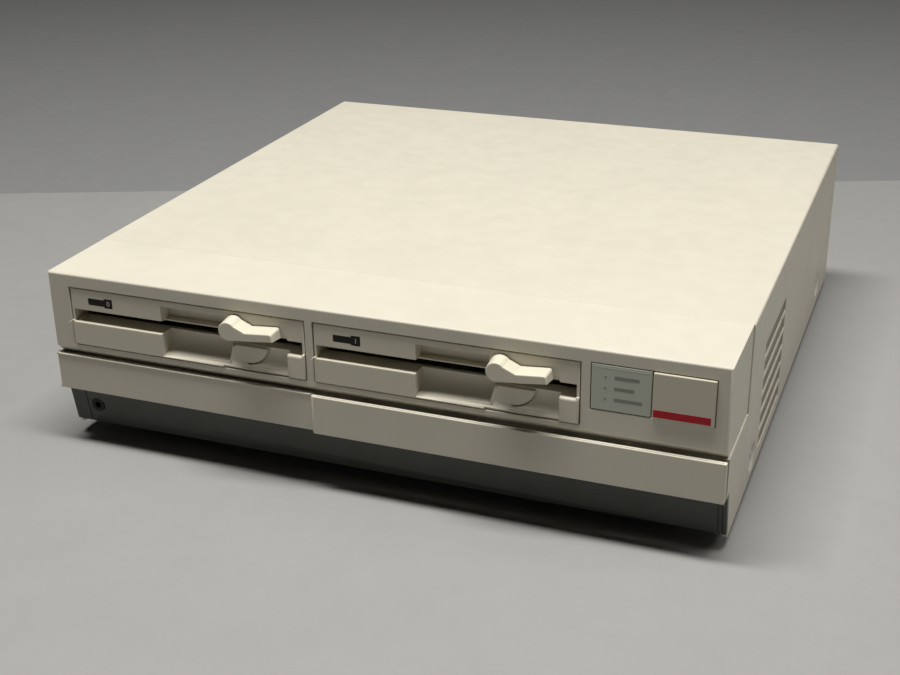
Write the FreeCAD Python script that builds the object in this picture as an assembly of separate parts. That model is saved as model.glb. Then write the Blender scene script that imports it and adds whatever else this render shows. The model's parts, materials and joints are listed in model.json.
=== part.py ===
import FreeCAD, Part
import math
import os

# Desktop home computer with two half-height disk drives, in millimetres.
# While it is built, x runs left to right with 0 on the centre line, y runs from
# the front plane (0) towards the back, and z rises from the ground (0).
# Each finished piece then moves along y, so that the origin is under the middle of the whole.

Vec = FreeCAD.Vector

# Widths across the front, left to right
side_margin = 13.8
drive_body_width = 146.0
drive_play = 0.9
drive_count = 2
bay_gap = 4.3
status_gap = 4.8
window_bay_width = 31.3
button_bay_width = 31.7
end_margin = 7.5

# Heights, from the ground up
foot_height = 7.0
skirt_clearance = 2.5
skirt_height = 25.4
band_height = 22.6
groove_height = 5.1
bezel_lip = 2.2
drive_bay_height = 35.3
bezel_head = 7.7
cover_step = 0.2
cover_drop = 0.5

# Depths, from the front plane back
bezel_depth = 56.0
cover_depth = 340.0
rear_recess = 8.0
lever_reach = 9.3
panel_reach = 2.7

# Thicknesses
sheet = 1.0
steel = 1.2
shell = 2.5
front_wall = 3.0
board_thickness = 1.6

# Clearances
seam = 0.4
slide_gap = 0.3
running_gap = 0.05
hole_gap = 0.1
overrun = 1.0

# Screws
screw_radius = 1.5
screw_head_radius = 3.2
screw_head_height = 1.8
screw_grip = 5.0
cross_width = 0.8
cross_length = 3.8

# Top cover
cover_bend = 1.6
dimple_radius = 9.0
dimple_seat_radius = 5.4
dimple_depth = 3.5
cover_screw_front = 24.0
cover_screw_back = 57.0
cover_screw_front_height = 19.5
cover_screw_back_height = 22.5
vent_rows = 6
vent_front = 101.0
vent_length = 71.0
vent_bottom = 12.5
vent_pitch = 11.1
vent_opening = 8.6
wall_slot = 5.0

# Upper front moulding
bezel_inset = 0.8
bezel_edge = 1.2
tongue_reach = 8.0
tongue_lap = 4.0
status_height = 25.7
status_raise = 0.6

# Lower band: door, fixed panel, cheeks
band_thickness = 2.6
panel_thickness = 3.0
panel_groove_width = 0.7
panel_groove_depth = 0.8
panel_groove_setback = 0.9
panel_corner = 1.6
panel_pad_width = 6.0
panel_pad_count = 4
band_edge = 0.6
door_width = 163.4
cheek_setback = 3.2
frame_wall_y = 7.6
frame_beam_depth = 14.0
frame_beam_height = 4.5
frame_flange_height = 2.0
frame_flange_depth = 17.0
tray_setback = 3.0
frame_rib_width = 2.5
frame_rib_pitch = 119.0
hinge_back = 2.4
hinge_up = 1.4
hinge_inset = 7.0
lug_width = 4.0
lug_radius = 2.2
pin_radius = 1.2
ear_radius = 1.7
ear_width = 1.6

# Skirt and headphone socket
skirt_top_y = 7.0
skirt_bottom_y = 11.5
skirt_groove_width = 0.6
skirt_groove_depth = 0.5
skirt_groove_outer = 2.5
skirt_groove_inner = 4.7
skirt_groove_left = 9.8
jack_from_left = 17.3
jack_drop = 12.8
jack_ring_radius = 4.2
jack_ring_proud = 0.4
jack_bore = 1.8
jack_bore_depth = 14.5
jack_body_radius = 5.5
jack_body_length = 15.0

# Control bay behind the door
control_bay_left_inset = 9.5
control_bay_width = 149.0
control_bay_lift = 5.1
control_bay_head = 1.1
control_bay_depth = 30.9
control_rim = 1.5
control_side = 1.5
volume_from_left = 26.0
reset_from_left = 56.0
key_pitch = 20.0
keyboard_from_right = 30.0
knob_radius = 6.0
knob_height = 14.0
knob_edge = 0.4
knob_rib_radius = 0.7
knob_rib_count = 12
knob_shaft_radius = 3.0
knob_shaft_length = 9.0
pot_radius = 8.2
pot_length = 10.0
pot_floor = 0.5
key_radius = 4.0
key_edge = 0.5
key_length = 7.0
key_stop = 1.2
key_stop_thickness = 1.0
key_stem_radius = 1.5
key_stem_length = 4.4
key_travel = 2.0
control_switch_size = 8.0
control_switch_depth = 5.0
control_board_height = 12.0
control_board_margin = 16.0
control_post_radius = 2.0
keyboard_radius = 6.4
keyboard_bore = 5.2
keyboard_bore_depth = 9.0
keyboard_proud = 8.0
keyboard_flange = 1.4
keyboard_length = 10.0

# Status window, lamps and power button
status_gap_edge = 0.4
window_setback = 0.6
button_setback = 0.2
button_edge = 0.5
status_flange = 1.2
status_flange_thickness = 1.2
button_travel = 3.0
button_stem_radius = 3.0
button_stem_overlap = 6.0
switch_width = 18.0
switch_height = 16.0
switch_length = 26.0
switch_bore_depth = 10.0
indicator_board_y = 14.0
indicator_post_radius = 1.6
indicator_post_inset = 4.0
indicator_post_drop = 4.2
indicator_board_margin = 2.2
led_radius = 1.5
led_from_left = 7.6
led_top_drop = 6.8
led_pitch = 6.0
led_count = 3

# Chassis pan and what stands on it
wall_height = 79.0
wall_start = 4.0
board_lift = 6.0
board_start = 125.0
board_end_gap = 15.0
board_side_gap = 6.0
board_post_radius = 3.5
board_screw_share_x = (0.04, 0.5, 0.96)
board_screw_share_y = (0.05, 0.95)
foot_radius = 9.0
foot_tip_radius = 8.0
foot_inset_x = 34.0
foot_inset_y = 42.0
foot_screw_depth = 2.2
speaker_radius = 28.0
speaker_inset = 42.0
speaker_start = 6.0
speaker_rim = 3.0
speaker_cone = 10.0
speaker_magnet_radius = 14.0
speaker_magnet_height = 8.0
grille_slots = 5
grille_width = 3.0
grille_pitch = 8.0
grille_radius = 22.0
rear_tab_share_x = (-0.9, -0.3, 0.3, 0.9)
rear_tab_width = 14.0
rear_tab_height = 14.0
shelf_leg_start = 34.0
shelf_foot = 9.0
shelf_side_gap = 1.0
leg_slot_front = 11.0
leg_slot_back = 28.0
chip_rows = 4
chip_columns = 9
chip_width = 8.0
chip_length = 20.0
chip_height = 4.0
chip_margin = 24.0
chip_header_gap = 14.0

# Back panel and its sockets
inlet_from_right = 38.0
inlet_height_up = 44.0
inlet_width = 27.0
inlet_height = 19.0
inlet_flange = 2.5
inlet_flange_thickness = 1.6
inlet_wall = 2.0
inlet_back = 2.5
inlet_cavity_depth = 17.0
blade_length = 11.0
blade_width = 2.0
blade_height = 5.0
blade_pitch = 7.0
port_up = 24.0
port_flange = 3.0
port_flange_thickness = 1.2
port_proud = 4.0
port_body_length = 9.0
wide_port_width = 47.0
wide_port_height = 10.0
wide_port_first = -52.0
wide_port_pitch = 64.0
wide_port_count = 2
round_port_radius = 7.5
round_port_first = 60.0
round_port_pitch = 24.0
round_port_count = 2
slot_cover_width = 96.0
slot_cover_height = 19.0
slot_cover_gap = 3.0
slot_cover_lap = 2.5
slot_cover_side = 8.0
slot_cover_up = 34.0
slot_cover_count = 2
air_count = 14
air_width = 3.0
air_pitch = 7.0
air_first = 2.0
air_up = 52.0
air_height = 34.0

# Power supply
psu_side_gap = 1.5
psu_front_gap = 36.0
psu_length = 196.0
psu_height = 88.0
psu_slot_count = 8
psu_slot_width = 4.0
psu_slot_pitch = 14.0
psu_slot_start = 30.0
psu_slot_margin = 12.0
psu_board_margin = 4.0
psu_board_lift = 5.0
psu_post_inset = 3.0
psu_post_radius = 1.5
core_width = 41.0
core_length = 46.0
core_height = 40.0
core_start = 60.0
capacitor_radius = 9.0
capacitor_height = 32.0
capacitor_start = 16.0
capacitor_pitch = 24.0
capacitor_count = 2
sink_thickness = 2.4
sink_height = 48.0
sink_gap = 10.0

# Drive body and face
drive_body_height = 41.0
drive_body_depth = 190.0
drive_wall = 3.0
drive_edge = 0.5
face_setback = 0.5
face_thickness = 11.5
face_gap = 0.7
slot_rise = 15.4
slot_height = 6.7
throat_rise = 2.4
throat_drop = 0.7
slot_lip = 1.0
jaw_reach = 1.2
lip_round = 1.3
lip_steps = 4
slot_inset_left = 1.2
slot_inset_right = 1.5
slot_mouth_depth = 4.5
slot_end_drop = 1.1
notch_left = -14.8
notch_right = 25.6
notch_depth = 8.5
notch_drop = 4.0
brow_drop = 10.0
brow_depth = 3.0
scoop_from_right = 10.3
scoop_low = 0.8
scoop_deep = 9.0
scoop_shallow = 4.0
scoop_bend_depth_share = 0.72
scoop_bend_height_share = 0.3
boss_left = 23.2
boss_lean = 3.8
boss_bend_share = 0.63
boss_x = 37.5
boss_drop = 2.85
boss_radius = 12.7
boss_setback = 2.2
boss_corner = 2.2
boss_groove = 0.8
bushing_radius = 4.7
bushing_length = 18.0
lamp_from_left = 11.3
lamp_width = 10.4
label_width = 5.4
lamp_drop = 5.6
lamp_height = 4.0
label_drop = 4.7
label_height = 5.6
lamp_depth = 2.0

# Drive lever, its shaft and the disk clamp
pivot_from_centre = 32.1
pivot_drop = 8.4
lever_draft = 0.7
lever_edge = 0.7
lever_hub_radius = 6.0
lever_length = 27.6
lever_tip_slant = 0.7
lever_tip_up = 2.6
lever_tip_down = 3.3
lever_tip_round = 1.5
lever_kink_out = 10.7
lever_kink_up = 1.2
lever_belly_out = 13.0
lever_belly_down = 4.9
lever_shaft_radius = 2.0
lever_bore_depth = 6.0
lever_shaft_entry = 5.6
cam_reach = 5.2
cam_tip = 0.8
cam_length = 8.0
cam_inset = 1.6
cam_gap = 0.8
clamp_travel = 3.2
clamp_plate = 1.5
clamp_width = 28.0
clamp_tab_width = 16.8
clamp_hub_gap = 4.0
clamp_hub_radius = 13.0
clamp_hub_rim = 4.0
clamp_neck_radius = 7.0
hub_pin_radius = 3.0

# Drive spindle, head carriage and stepper
deck_drop = 7.8
deck_thickness = 3.0
head_tail = 67.0
spindle_shaft_radius = 4.0
spindle_boss_radius = 9.0
hub_radius = 14.0
hub_edge = 1.0
boss_proud = 0.3
stator_radius = 26.0
stator_height = 2.8
rotor_radius = 24.0
rotor_height = 3.3
track_radius = 57.0
track_travel = 21.0
rail_radius = 2.0
rail_spread = 14.0
rail_lift = 3.5
rail_block_width = 8.0
rail_block_length = 5.0
rail_block_cap = 1.2
rail_stop_gap = 5.0
carriage_front = 8.0
carriage_back = 40.0
carriage_half_width = 20.0
carriage_drop = 1.25
carriage_bridge = 8.0
carriage_clear = 0.4
arm_half = 9.0
arm_up = 5.0
arm_thickness = 3.0
head_radius = 3.5
head_gap = 1.0
strip_thickness = 0.6
strip_margin = 2.0
pulley_radius = 8.0
pulley_behind = 13.0
pulley_shaft_radius = 1.5
pulley_height = 4.2
stepper_radius = 17.0
stepper_boss_radius = 6.0
stepper_floor = 3.0

# Drive board and flat cables
logic_lift = 2.0
logic_side_gap = 0.6
logic_front_gap = 8.0
logic_cut_gap = 3.0
logic_post_radius = 3.0
logic_post_inset = 12.0
cable_inset = 2.0
cable_from_centre = -27.0
plug_width = 46.0
plug_length = 10.0
plug_height = 4.0
ribbon_width = 42.0
ribbon_thickness = 1.0
ribbon_bend = 6.0
ribbon_run = 12.0
header_depth = 9.0
header_height = 10.0

# Places that follow from the sizes above
drive_bay_width = drive_body_width + 2 * drive_play
case_width = (side_margin + drive_count * drive_bay_width + (drive_count - 1) * bay_gap
              + status_gap + window_bay_width + button_bay_width + end_margin)
case_depth = bezel_depth + cover_depth
half_width = case_width / 2
band_bottom = foot_height + skirt_clearance + skirt_height
band_top = band_bottom + band_height
bezel_front_bottom = band_top + groove_height
bezel_floor = band_top + seam
bay_bottom = bezel_front_bottom + bezel_lip
bay_top = bay_bottom + drive_bay_height
bezel_top = bay_top + bezel_head
case_height = bezel_top + cover_step
bezel_half_width = half_width - bezel_inset
bezel_inner_half = bezel_half_width - shell
drive_bottom = (bay_bottom + bay_top - drive_body_height) / 2
drive_top = drive_bottom + drive_body_height
shelf_bottom = drive_bottom - steel
floor_top = foot_height + steel
cover_bottom = foot_height - cover_drop
wall_outer = half_width - dimple_depth
wall_inner = wall_outer - steel
rear_y = case_depth - rear_recess
rear_inside = rear_y - steel
rear_half_width = half_width - sheet - slide_gap
vent_ys = (vent_front, vent_front + vent_length)
cover_underside = case_height - sheet - slide_gap
drive_centres = [-half_width + side_margin + drive_bay_width / 2 + index * (drive_bay_width + bay_gap)
                 for index in range(drive_count)]
status_right = half_width - end_margin
window_right = status_right - button_bay_width
status_left = window_right - window_bay_width
status_top = bay_top + status_raise
status_bottom = status_top - status_height
status_middle_z = (status_bottom + status_top) / 2
button_x = (window_right + status_right) / 2
indicator_post_xs = (status_left + indicator_post_inset, status_right - indicator_post_inset)
indicator_post_low = status_bottom - indicator_post_drop
indicator_board_top = bezel_top - shell - slide_gap
door_left = -half_width + slide_gap
door_right = door_left + door_width
hinge_y = band_thickness + hinge_back
hinge_z = band_bottom + hinge_up
hinge_xs = (door_left + hinge_inset + lug_width / 2, door_right - hinge_inset - lug_width / 2)
skirt_top = band_bottom - slide_gap
skirt_bottom = foot_height + skirt_clearance
skirt_half = half_width - slide_gap
frame_front_low = skirt_bottom_y + shell + seam
frame_front_high = skirt_top_y + shell + seam
frame_wall_back = frame_wall_y + shell
frame_beam_back = frame_wall_back + frame_beam_depth
frame_flange_back = frame_front_low + frame_flange_depth
jack_x = -half_width + jack_from_left
jack_z = band_bottom - jack_drop
control_bay_left = -half_width + control_bay_left_inset
control_bay_right = control_bay_left + control_bay_width
control_bay_bottom = band_bottom + control_bay_lift
control_bay_top = band_top - control_bay_head
control_z = (control_bay_bottom + control_bay_top) / 2
control_wall_y = frame_wall_y + control_bay_depth
control_wall_back = control_wall_y + control_side
volume_x = control_bay_left + volume_from_left
reset_x = control_bay_left + reset_from_left
interrupt_x = reset_x + key_pitch
keyboard_x = control_bay_right - keyboard_from_right
key_behind = control_wall_back + slide_gap
control_board_y = key_behind + key_stop_thickness + key_travel + slide_gap + control_switch_depth
screw_clear = screw_radius + hole_gap
shelf_leg_x = drive_centres[-1] + drive_body_width / 2 + shelf_side_gap
board_bottom = floor_top + board_lift
board_top = board_bottom + board_thickness
board_left = -wall_inner + board_side_gap
board_right = shelf_leg_x + steel - shelf_foot - board_side_gap
board_rear = rear_inside - board_end_gap
foot_screw_seat = foot_height - foot_screw_depth
rear_tab_z = floor_top + rear_tab_height / 2
rear_tab_xs = [share * wall_inner for share in rear_tab_share_x]
speaker_x = -wall_inner + speaker_inset
speaker_y = bezel_depth + speaker_start + speaker_radius
inlet_x = wall_inner - inlet_from_right
inlet_z = floor_top + inlet_height_up
port_z = floor_top + port_up
wide_port_xs = [wide_port_first + index * wide_port_pitch for index in range(wide_port_count)]
round_port_xs = [round_port_first + index * round_port_pitch for index in range(round_port_count)]
slot_cover_left = -wall_inner + slot_cover_side
slot_cover_zs = [floor_top + slot_cover_up + index * (slot_cover_height + slot_cover_gap)
                 for index in range(slot_cover_count)]
psu_left = shelf_leg_x + steel + psu_side_gap
psu_right = wall_inner - slide_gap
psu_front = bezel_depth + psu_front_gap
psu_back = psu_front + psu_length
psu_top = floor_top + psu_height
psu_board_top = floor_top + psu_board_lift + board_thickness
face_back = face_setback + face_thickness
jaw_y = face_setback - jaw_reach
face_half = drive_bay_width / 2 - face_gap
face_low = bay_bottom + face_gap
face_high = bay_top - face_gap
drive_half = drive_body_width / 2
drive_inner_half = drive_half - drive_wall
drive_rear = face_back + drive_body_depth
slot_bottom = bay_bottom + slot_rise
slot_top = slot_bottom + slot_height
disk_z = (slot_bottom + slot_top) / 2
throat_bottom = slot_bottom - throat_drop
throat_top = disk_z + throat_rise
slot_left = -face_half + slot_inset_left
slot_right = face_half - slot_inset_right
scoop_right = face_half - scoop_from_right
lamp_left = -face_half + lamp_from_left
pivot_z = bay_top - pivot_drop
lever_back = -slide_gap
deck_top = disk_z - deck_drop
deck_bottom = deck_top - deck_thickness
head_y = drive_rear - head_tail
spindle_y = head_y - track_radius
rotor_top = deck_bottom - stator_height - slide_gap
clamp_plate_bottom = pivot_z + cam_reach + cam_gap
clamp_hub_bottom = disk_z + clamp_hub_gap
clamp_front = spindle_y - clamp_width / 2
clamp_tab_ys = (spindle_y - clamp_tab_width / 2, spindle_y + clamp_tab_width / 2)
rail_z = deck_top + rail_lift
rail_front = head_y - carriage_front - track_travel - rail_stop_gap - rail_block_length
rail_back = head_y + carriage_back + rail_stop_gap + rail_block_length
pulley_x = carriage_half_width + strip_thickness + slide_gap + pulley_radius
pulley_y = head_y + pulley_behind
logic_bottom = drive_bottom + logic_lift
logic_top = logic_bottom + board_thickness
logic_middle = (logic_bottom + logic_top) / 2
cable_start = drive_rear - cable_inset
header_y = cable_start + plug_length + ribbon_run + ribbon_bend


# Helpers

def box(xs, ys, zs):
    """Block between two limits on each axis."""
    return Part.makeBox(xs[1] - xs[0], ys[1] - ys[0], zs[1] - zs[0], Vec(xs[0], ys[0], zs[0]))


def rod(axis, radius, centre, ends):
    """Round rod along an axis; centre holds its two other coordinates in x, y, z order."""
    places = {"x": (ends[0], centre[0], centre[1]), "y": (centre[0], ends[0], centre[1]),
              "z": (centre[0], centre[1], ends[0])}
    directions = {"x": Vec(1, 0, 0), "y": Vec(0, 1, 0), "z": Vec(0, 0, 1)}
    return Part.makeCylinder(radius, ends[1] - ends[0], Vec(*places[axis]), directions[axis])


def prism_x(points, xs):
    """Outline of (y, z) points pulled along x."""
    corners = [Vec(xs[0], y, z) for y, z in points]
    return Part.Face(Part.makePolygon(corners + corners[:1])).extrude(Vec(xs[1] - xs[0], 0, 0))


def joined(*shapes):
    """One solid from overlapping or touching ones."""
    return shapes[0].fuse(list(shapes[1:])).removeSplitter()


def cut(shape, *tools):
    """The shape with every tool taken out of it."""
    return shape.cut(list(tools)).removeSplitter()


def group(pieces):
    """Separate solids that share one node."""
    return Part.makeCompound(list(pieces))


def rounded(shape, radius, wanted):
    """The shape with some edges rounded; wanted tests the middle of an edge."""
    return shape.makeFillet(radius, [edge for edge in shape.Edges if wanted(edge.CenterOfMass)])


def near(value, target):
    """True where two coordinates agree."""
    return abs(value - target) < running_gap


def span(middle, size):
    """Limits of a size centred on a place."""
    return (middle - size / 2, middle + size / 2)


def save(name, shape):
    """Writes one node, moved so that the origin is under the middle of the whole."""
    moved = shape.copy()
    moved.translate(Vec(0, -(case_depth - lever_reach) / 2, 0))
    moved.exportStep("parts/" + name + ".step")


def screw(axis, seat, centre, outward):
    """Pan-head screw with a cross recess; outward is 1 where its head faces up the axis."""
    top = seat + outward * screw_head_height
    body = joined(rod(axis, screw_head_radius, centre, sorted([seat, top])),
                  rod(axis, screw_radius, centre, sorted([seat, seat - outward * screw_grip])))
    deep = sorted([top - outward * screw_head_height / 2, top + outward * overrun])
    for first, second in ((cross_length, cross_width), (cross_width, cross_length)):
        a = span(centre[0], first)
        b = span(centre[1], second)
        body = body.cut(box(*{"x": (deep, a, b), "y": (a, deep, b), "z": (a, b, deep)}[axis]))
    return body


# Casing

def vent_slots(xs, ys, opening, rows):
    """Boxes of the side vents' rows, through the walls between xs."""
    return [box(xs, ys, span(vent_bottom + vent_pitch * (row + 1 / 2), opening)) for row in rows]


def cover_screw_places():
    """Places (y, z) of the cover's screws on each side."""
    return [(bezel_depth + cover_screw_front, cover_screw_front_height),
            (case_depth - cover_screw_back, cover_screw_back_height)]


def top_cover():
    """Painted steel cover: a top and two sides folded from one sheet, with vents and screw dimples."""
    outer = box((-half_width, half_width), (bezel_depth, case_depth), (cover_bottom, case_height))
    outer = rounded(outer, cover_bend, lambda p: near(abs(p.x), half_width) and near(p.z, case_height))
    inside = box((-half_width + sheet, half_width - sheet), (bezel_depth - overrun, case_depth + overrun),
                 (cover_bottom - overrun, case_height - sheet))
    cover = outer.cut(inside)
    cover = cover.cut(vent_slots((-half_width - overrun, half_width + overrun), vent_ys,
                                 vent_opening, range(vent_rows)))
    for side in (-1, 1):
        for place in cover_screw_places():
            base = Vec(side * half_width, *place)
            inward = Vec(-side, 0, 0)
            cup = Part.makeCone(dimple_radius + sheet, dimple_seat_radius + sheet, dimple_depth, base, inward)
            bowl = Part.makeCone(dimple_radius, dimple_seat_radius, dimple_depth - sheet, base, inward)
            hole = rod("x", screw_clear, place, sorted([side * half_width, side * (wall_outer - overrun)]))
            cover = cover.fuse(cup).cut([bowl, hole])
    return cover.removeSplitter()


def indicator_posts():
    """Posts behind the status opening that carry the indicator board."""
    high = bezel_top - shell - indicator_post_radius / 2
    return [rod("y", indicator_post_radius, (x, z), (front_wall - overrun, indicator_board_y))
            for x in indicator_post_xs for z in (indicator_post_low, high)]


def front_bezel():
    """Upper front moulding: drive bays, status opening, chamfer below, tongue under the cover."""
    chamfer = bezel_front_bottom - bezel_floor
    outline = [(0, bezel_front_bottom), (0, bezel_top), (bezel_depth, bezel_top),
               (bezel_depth, bezel_floor), (chamfer, bezel_floor)]
    outer = prism_x(outline, (-bezel_half_width, bezel_half_width))
    outer = rounded(outer, bezel_edge, lambda p: near(p.y, 0) and not near(p.z, bezel_front_bottom))
    hollow = box((-bezel_inner_half, bezel_inner_half), (front_wall, bezel_depth + overrun),
                 (shelf_bottom, bezel_top - shell))
    bezel = outer.cut(hollow)
    tongue = box((-rear_half_width, rear_half_width), (bezel_depth - tongue_lap, bezel_depth + tongue_reach),
                 (bezel_front_bottom, cover_underside))
    tongue = tongue.cut(box((-bezel_inner_half, bezel_inner_half),
                            (bezel_depth - tongue_lap - overrun, bezel_depth + tongue_reach + overrun),
                            (bezel_front_bottom - overrun, bezel_top - shell)))
    bezel = bezel.fuse(tongue)
    through = (-overrun, front_wall + overrun)
    openings = [box(span(centre, drive_bay_width), through, (bay_bottom, bay_top)) for centre in drive_centres]
    openings.append(box((status_left, status_right), through, (status_bottom, status_top)))
    return bezel.cut(openings).fuse(indicator_posts()).removeSplitter()


def hinge_parts():
    """Two ears and a pin for each hinge lug of the door."""
    pieces = []
    inner = lug_width / 2 + slide_gap
    for x in hinge_xs:
        pieces.append(rod("x", pin_radius, (hinge_y, hinge_z), span(x, 2 * (inner + ear_width))))
        for side in (-1, 1):
            ends = sorted([x + side * inner, x + side * (inner + ear_width)])
            pieces.append(rod("x", ear_radius, (hinge_y, hinge_z), ends))
            pieces.append(box(ends, (hinge_y, frame_wall_back),
                              (hinge_z - ear_radius + seam, hinge_z + ear_radius)))
    return pieces


def lower_front_frame():
    """Lower front moulding: two cheeks, a front wall with the control bay, ribs and a foot flange."""
    inner = half_width - shell
    frame_top = bezel_floor - seam
    cheek_back = bezel_depth - seam
    outline = [(cheek_setback, frame_top), (cheek_back, frame_top), (cheek_back, cover_bottom),
               (frame_front_low, cover_bottom), (frame_front_low, skirt_bottom),
               (frame_front_high, band_bottom), (cheek_setback, band_bottom)]
    pieces = [prism_x(outline, sorted([side * inner, side * half_width])) for side in (-1, 1)]
    pieces.append(box((-inner, inner), (frame_wall_y, frame_wall_back), (hinge_z + ear_radius, frame_top)))
    pieces.append(box((-inner, inner), (frame_wall_y + seam, frame_beam_back),
                      (band_bottom, band_bottom + frame_beam_height)))
    pieces.append(box((-inner, inner), (frame_front_low, frame_flange_back),
                      (floor_top, floor_top + frame_flange_height)))
    web = [(frame_front_high, band_bottom), (frame_beam_back, band_bottom),
           (frame_flange_back, floor_top), (frame_front_low, floor_top), (frame_front_low, skirt_bottom)]
    for index in (-1, 0, 1):
        pieces.append(prism_x(web, span(index * frame_rib_pitch, frame_rib_width)))
    frame = joined(*pieces)
    bay = box((control_bay_left, control_bay_right), (-overrun, frame_beam_back + overrun),
              (control_bay_bottom, control_bay_top))
    return frame.cut(bay).fuse(hinge_parts()).removeSplitter()


def right_front_panel():
    """Fixed half of the lower band, with a groove along its top edge and pads that meet the frame."""
    left = door_right + seam
    right = half_width - slide_gap
    front = -panel_reach
    back = front + panel_thickness
    panel = box((left, right), (front, back), (band_bottom, band_top))
    panel = rounded(panel, panel_corner, lambda p: near(p.x, left) and near(p.y, front))
    panel = rounded(panel, band_edge, lambda p: near(p.y, front) and near(p.z, band_bottom))
    groove_start = front + panel_groove_setback
    panel = panel.cut(box((left + panel_corner, right - panel_corner),
                          (groove_start, groove_start + panel_groove_width),
                          (band_top - panel_groove_depth, band_top + overrun)))
    pitch = (right - left) / panel_pad_count
    pads = [box(span(left + pitch * (index + 1 / 2), panel_pad_width), (back, frame_wall_y),
                span(control_z, panel_pad_width)) for index in range(panel_pad_count)]
    return joined(panel, *pads)


def front_door():
    """Flap over the controls, hinged along its bottom edge on two lugs."""
    bottom = band_bottom + slide_gap
    door = box((door_left, door_right), (0, band_thickness), (bottom, band_top))
    door = rounded(door, band_edge,
                   lambda p: near(p.y, 0) and (near(p.z, band_top) or near(p.z, bottom)))
    for x in hinge_xs:
        ends = span(x, lug_width)
        door = door.fuse([rod("x", lug_radius, (hinge_y, hinge_z), ends),
                          box(ends, (band_thickness - seam, hinge_y), (hinge_z, hinge_z + lug_radius))])
        door = door.cut(rod("x", pin_radius + running_gap, (hinge_y, hinge_z),
                            (ends[0] - overrun, ends[1] + overrun)))
    return door.removeSplitter()


def skirt_y(z):
    """Front face of the sloping skirt at a height."""
    share = (skirt_top - z) / (skirt_top - skirt_bottom)
    return skirt_top_y + (skirt_bottom_y - skirt_top_y) * share


def front_skirt():
    """Dark sloping strip under the band, with end grooves and the hole of the headphone socket."""
    outline = [(skirt_top_y, skirt_top), (skirt_top_y + shell, skirt_top),
               (skirt_bottom_y + shell, skirt_bottom), (skirt_bottom_y, skirt_bottom)]
    skirt = prism_x(outline, (-skirt_half, skirt_half))
    chase = [(skirt_top_y - overrun, skirt_top), (skirt_top_y + skirt_groove_depth, skirt_top),
             (skirt_bottom_y + skirt_groove_depth, skirt_bottom), (skirt_bottom_y - overrun, skirt_bottom)]
    for x in (skirt_half - skirt_groove_outer, skirt_half - skirt_groove_inner, skirt_groove_left - skirt_half):
        skirt = skirt.cut(prism_x(chase, (x, x + skirt_groove_width)))
    hole = rod("y", jack_ring_radius + hole_gap, (jack_x, jack_z),
               (skirt_top_y - overrun, skirt_bottom_y + shell + overrun))
    return skirt.cut(hole)


# Controls behind the door

def control_panel():
    """Recessed tray that closes the control bay, with a rim in front and holes in its back wall."""
    outer_x = (control_bay_left + slide_gap, control_bay_right - slide_gap)
    outer_z = (control_bay_bottom + slide_gap, control_bay_top - slide_gap)
    front = frame_wall_y - control_rim
    rim = control_bay_head
    panel = joined(box(outer_x, (front, control_wall_back), outer_z),
                   box((outer_x[0] - rim, outer_x[1] + rim), (front, frame_wall_y),
                       (outer_z[0] - rim, outer_z[1] + rim)))
    panel = panel.cut(box((outer_x[0] + control_side, outer_x[1] - control_side),
                          (front - overrun, control_wall_y),
                          (outer_z[0] + control_side, outer_z[1] - control_side)))
    through = (control_wall_y - overrun, control_wall_back + overrun)
    holes = {volume_x: knob_shaft_radius + slide_gap, reset_x: key_radius + slide_gap,
             interrupt_x: key_radius + slide_gap, keyboard_x: keyboard_radius + hole_gap}
    for x, radius in holes.items():
        panel = panel.cut(rod("y", radius, (x, control_z), through))
    post_reach = control_board_margin - 2 * control_post_radius
    for x in (reset_x - post_reach, interrupt_x + post_reach):
        panel = panel.fuse(rod("y", control_post_radius, (x, control_z), (control_wall_y, control_board_y)))
    return panel.removeSplitter()


def volume_knob():
    """Ribbed knob with its shaft."""
    back = control_wall_y - slide_gap
    front = back - knob_height
    place = (volume_x, control_z)
    knob = rod("y", knob_radius, place, (front, back))
    knob = rounded(knob, knob_edge, lambda p: near(p.y, front))
    for index in range(knob_rib_count):
        angle = 2 * math.pi * index / knob_rib_count
        groove = (place[0] + knob_radius * math.cos(angle), place[1] + knob_radius * math.sin(angle))
        knob = knob.cut(rod("y", knob_rib_radius, groove, (front - overrun, back - knob_rib_radius)))
    return knob.fuse(rod("y", knob_shaft_radius, place, (back, control_wall_back + knob_shaft_length)))


def volume_control():
    """Round potentiometer behind the back wall, bored for the knob's shaft."""
    place = (volume_x, control_z)
    back = control_wall_back + pot_length
    body = rod("y", pot_radius, place, (control_wall_back, back))
    return body.cut(rod("y", knob_shaft_radius + running_gap, place,
                        (control_wall_back - overrun, back - pot_floor)))


def push_key(x):
    """Small push key: cap through the wall, stop behind it, stem into its switch."""
    place = (x, control_z)
    front = control_wall_y - key_length
    stop_back = key_behind + key_stop_thickness
    cap = rounded(rod("y", key_radius, place, (front, key_behind)), key_edge, lambda p: near(p.y, front))
    return joined(cap, rod("y", key_radius + key_stop, place, (key_behind, stop_back)),
                  rod("y", key_stem_radius, place, (stop_back, stop_back + key_stem_length)))


def control_board():
    """Board behind the keys, with one switch body for each."""
    board = box((reset_x - control_board_margin, interrupt_x + control_board_margin),
                (control_board_y, control_board_y + board_thickness), span(control_z, control_board_height))
    pieces = [board]
    front = control_board_y - control_switch_depth
    for x in (reset_x, interrupt_x):
        body = box(span(x, control_switch_size), (front, control_board_y), span(control_z, control_switch_size))
        pieces.append(body.cut(rod("y", key_stem_radius + slide_gap, (x, control_z),
                                   (front - overrun, control_board_y - slide_gap))))
    return group(pieces)


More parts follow.
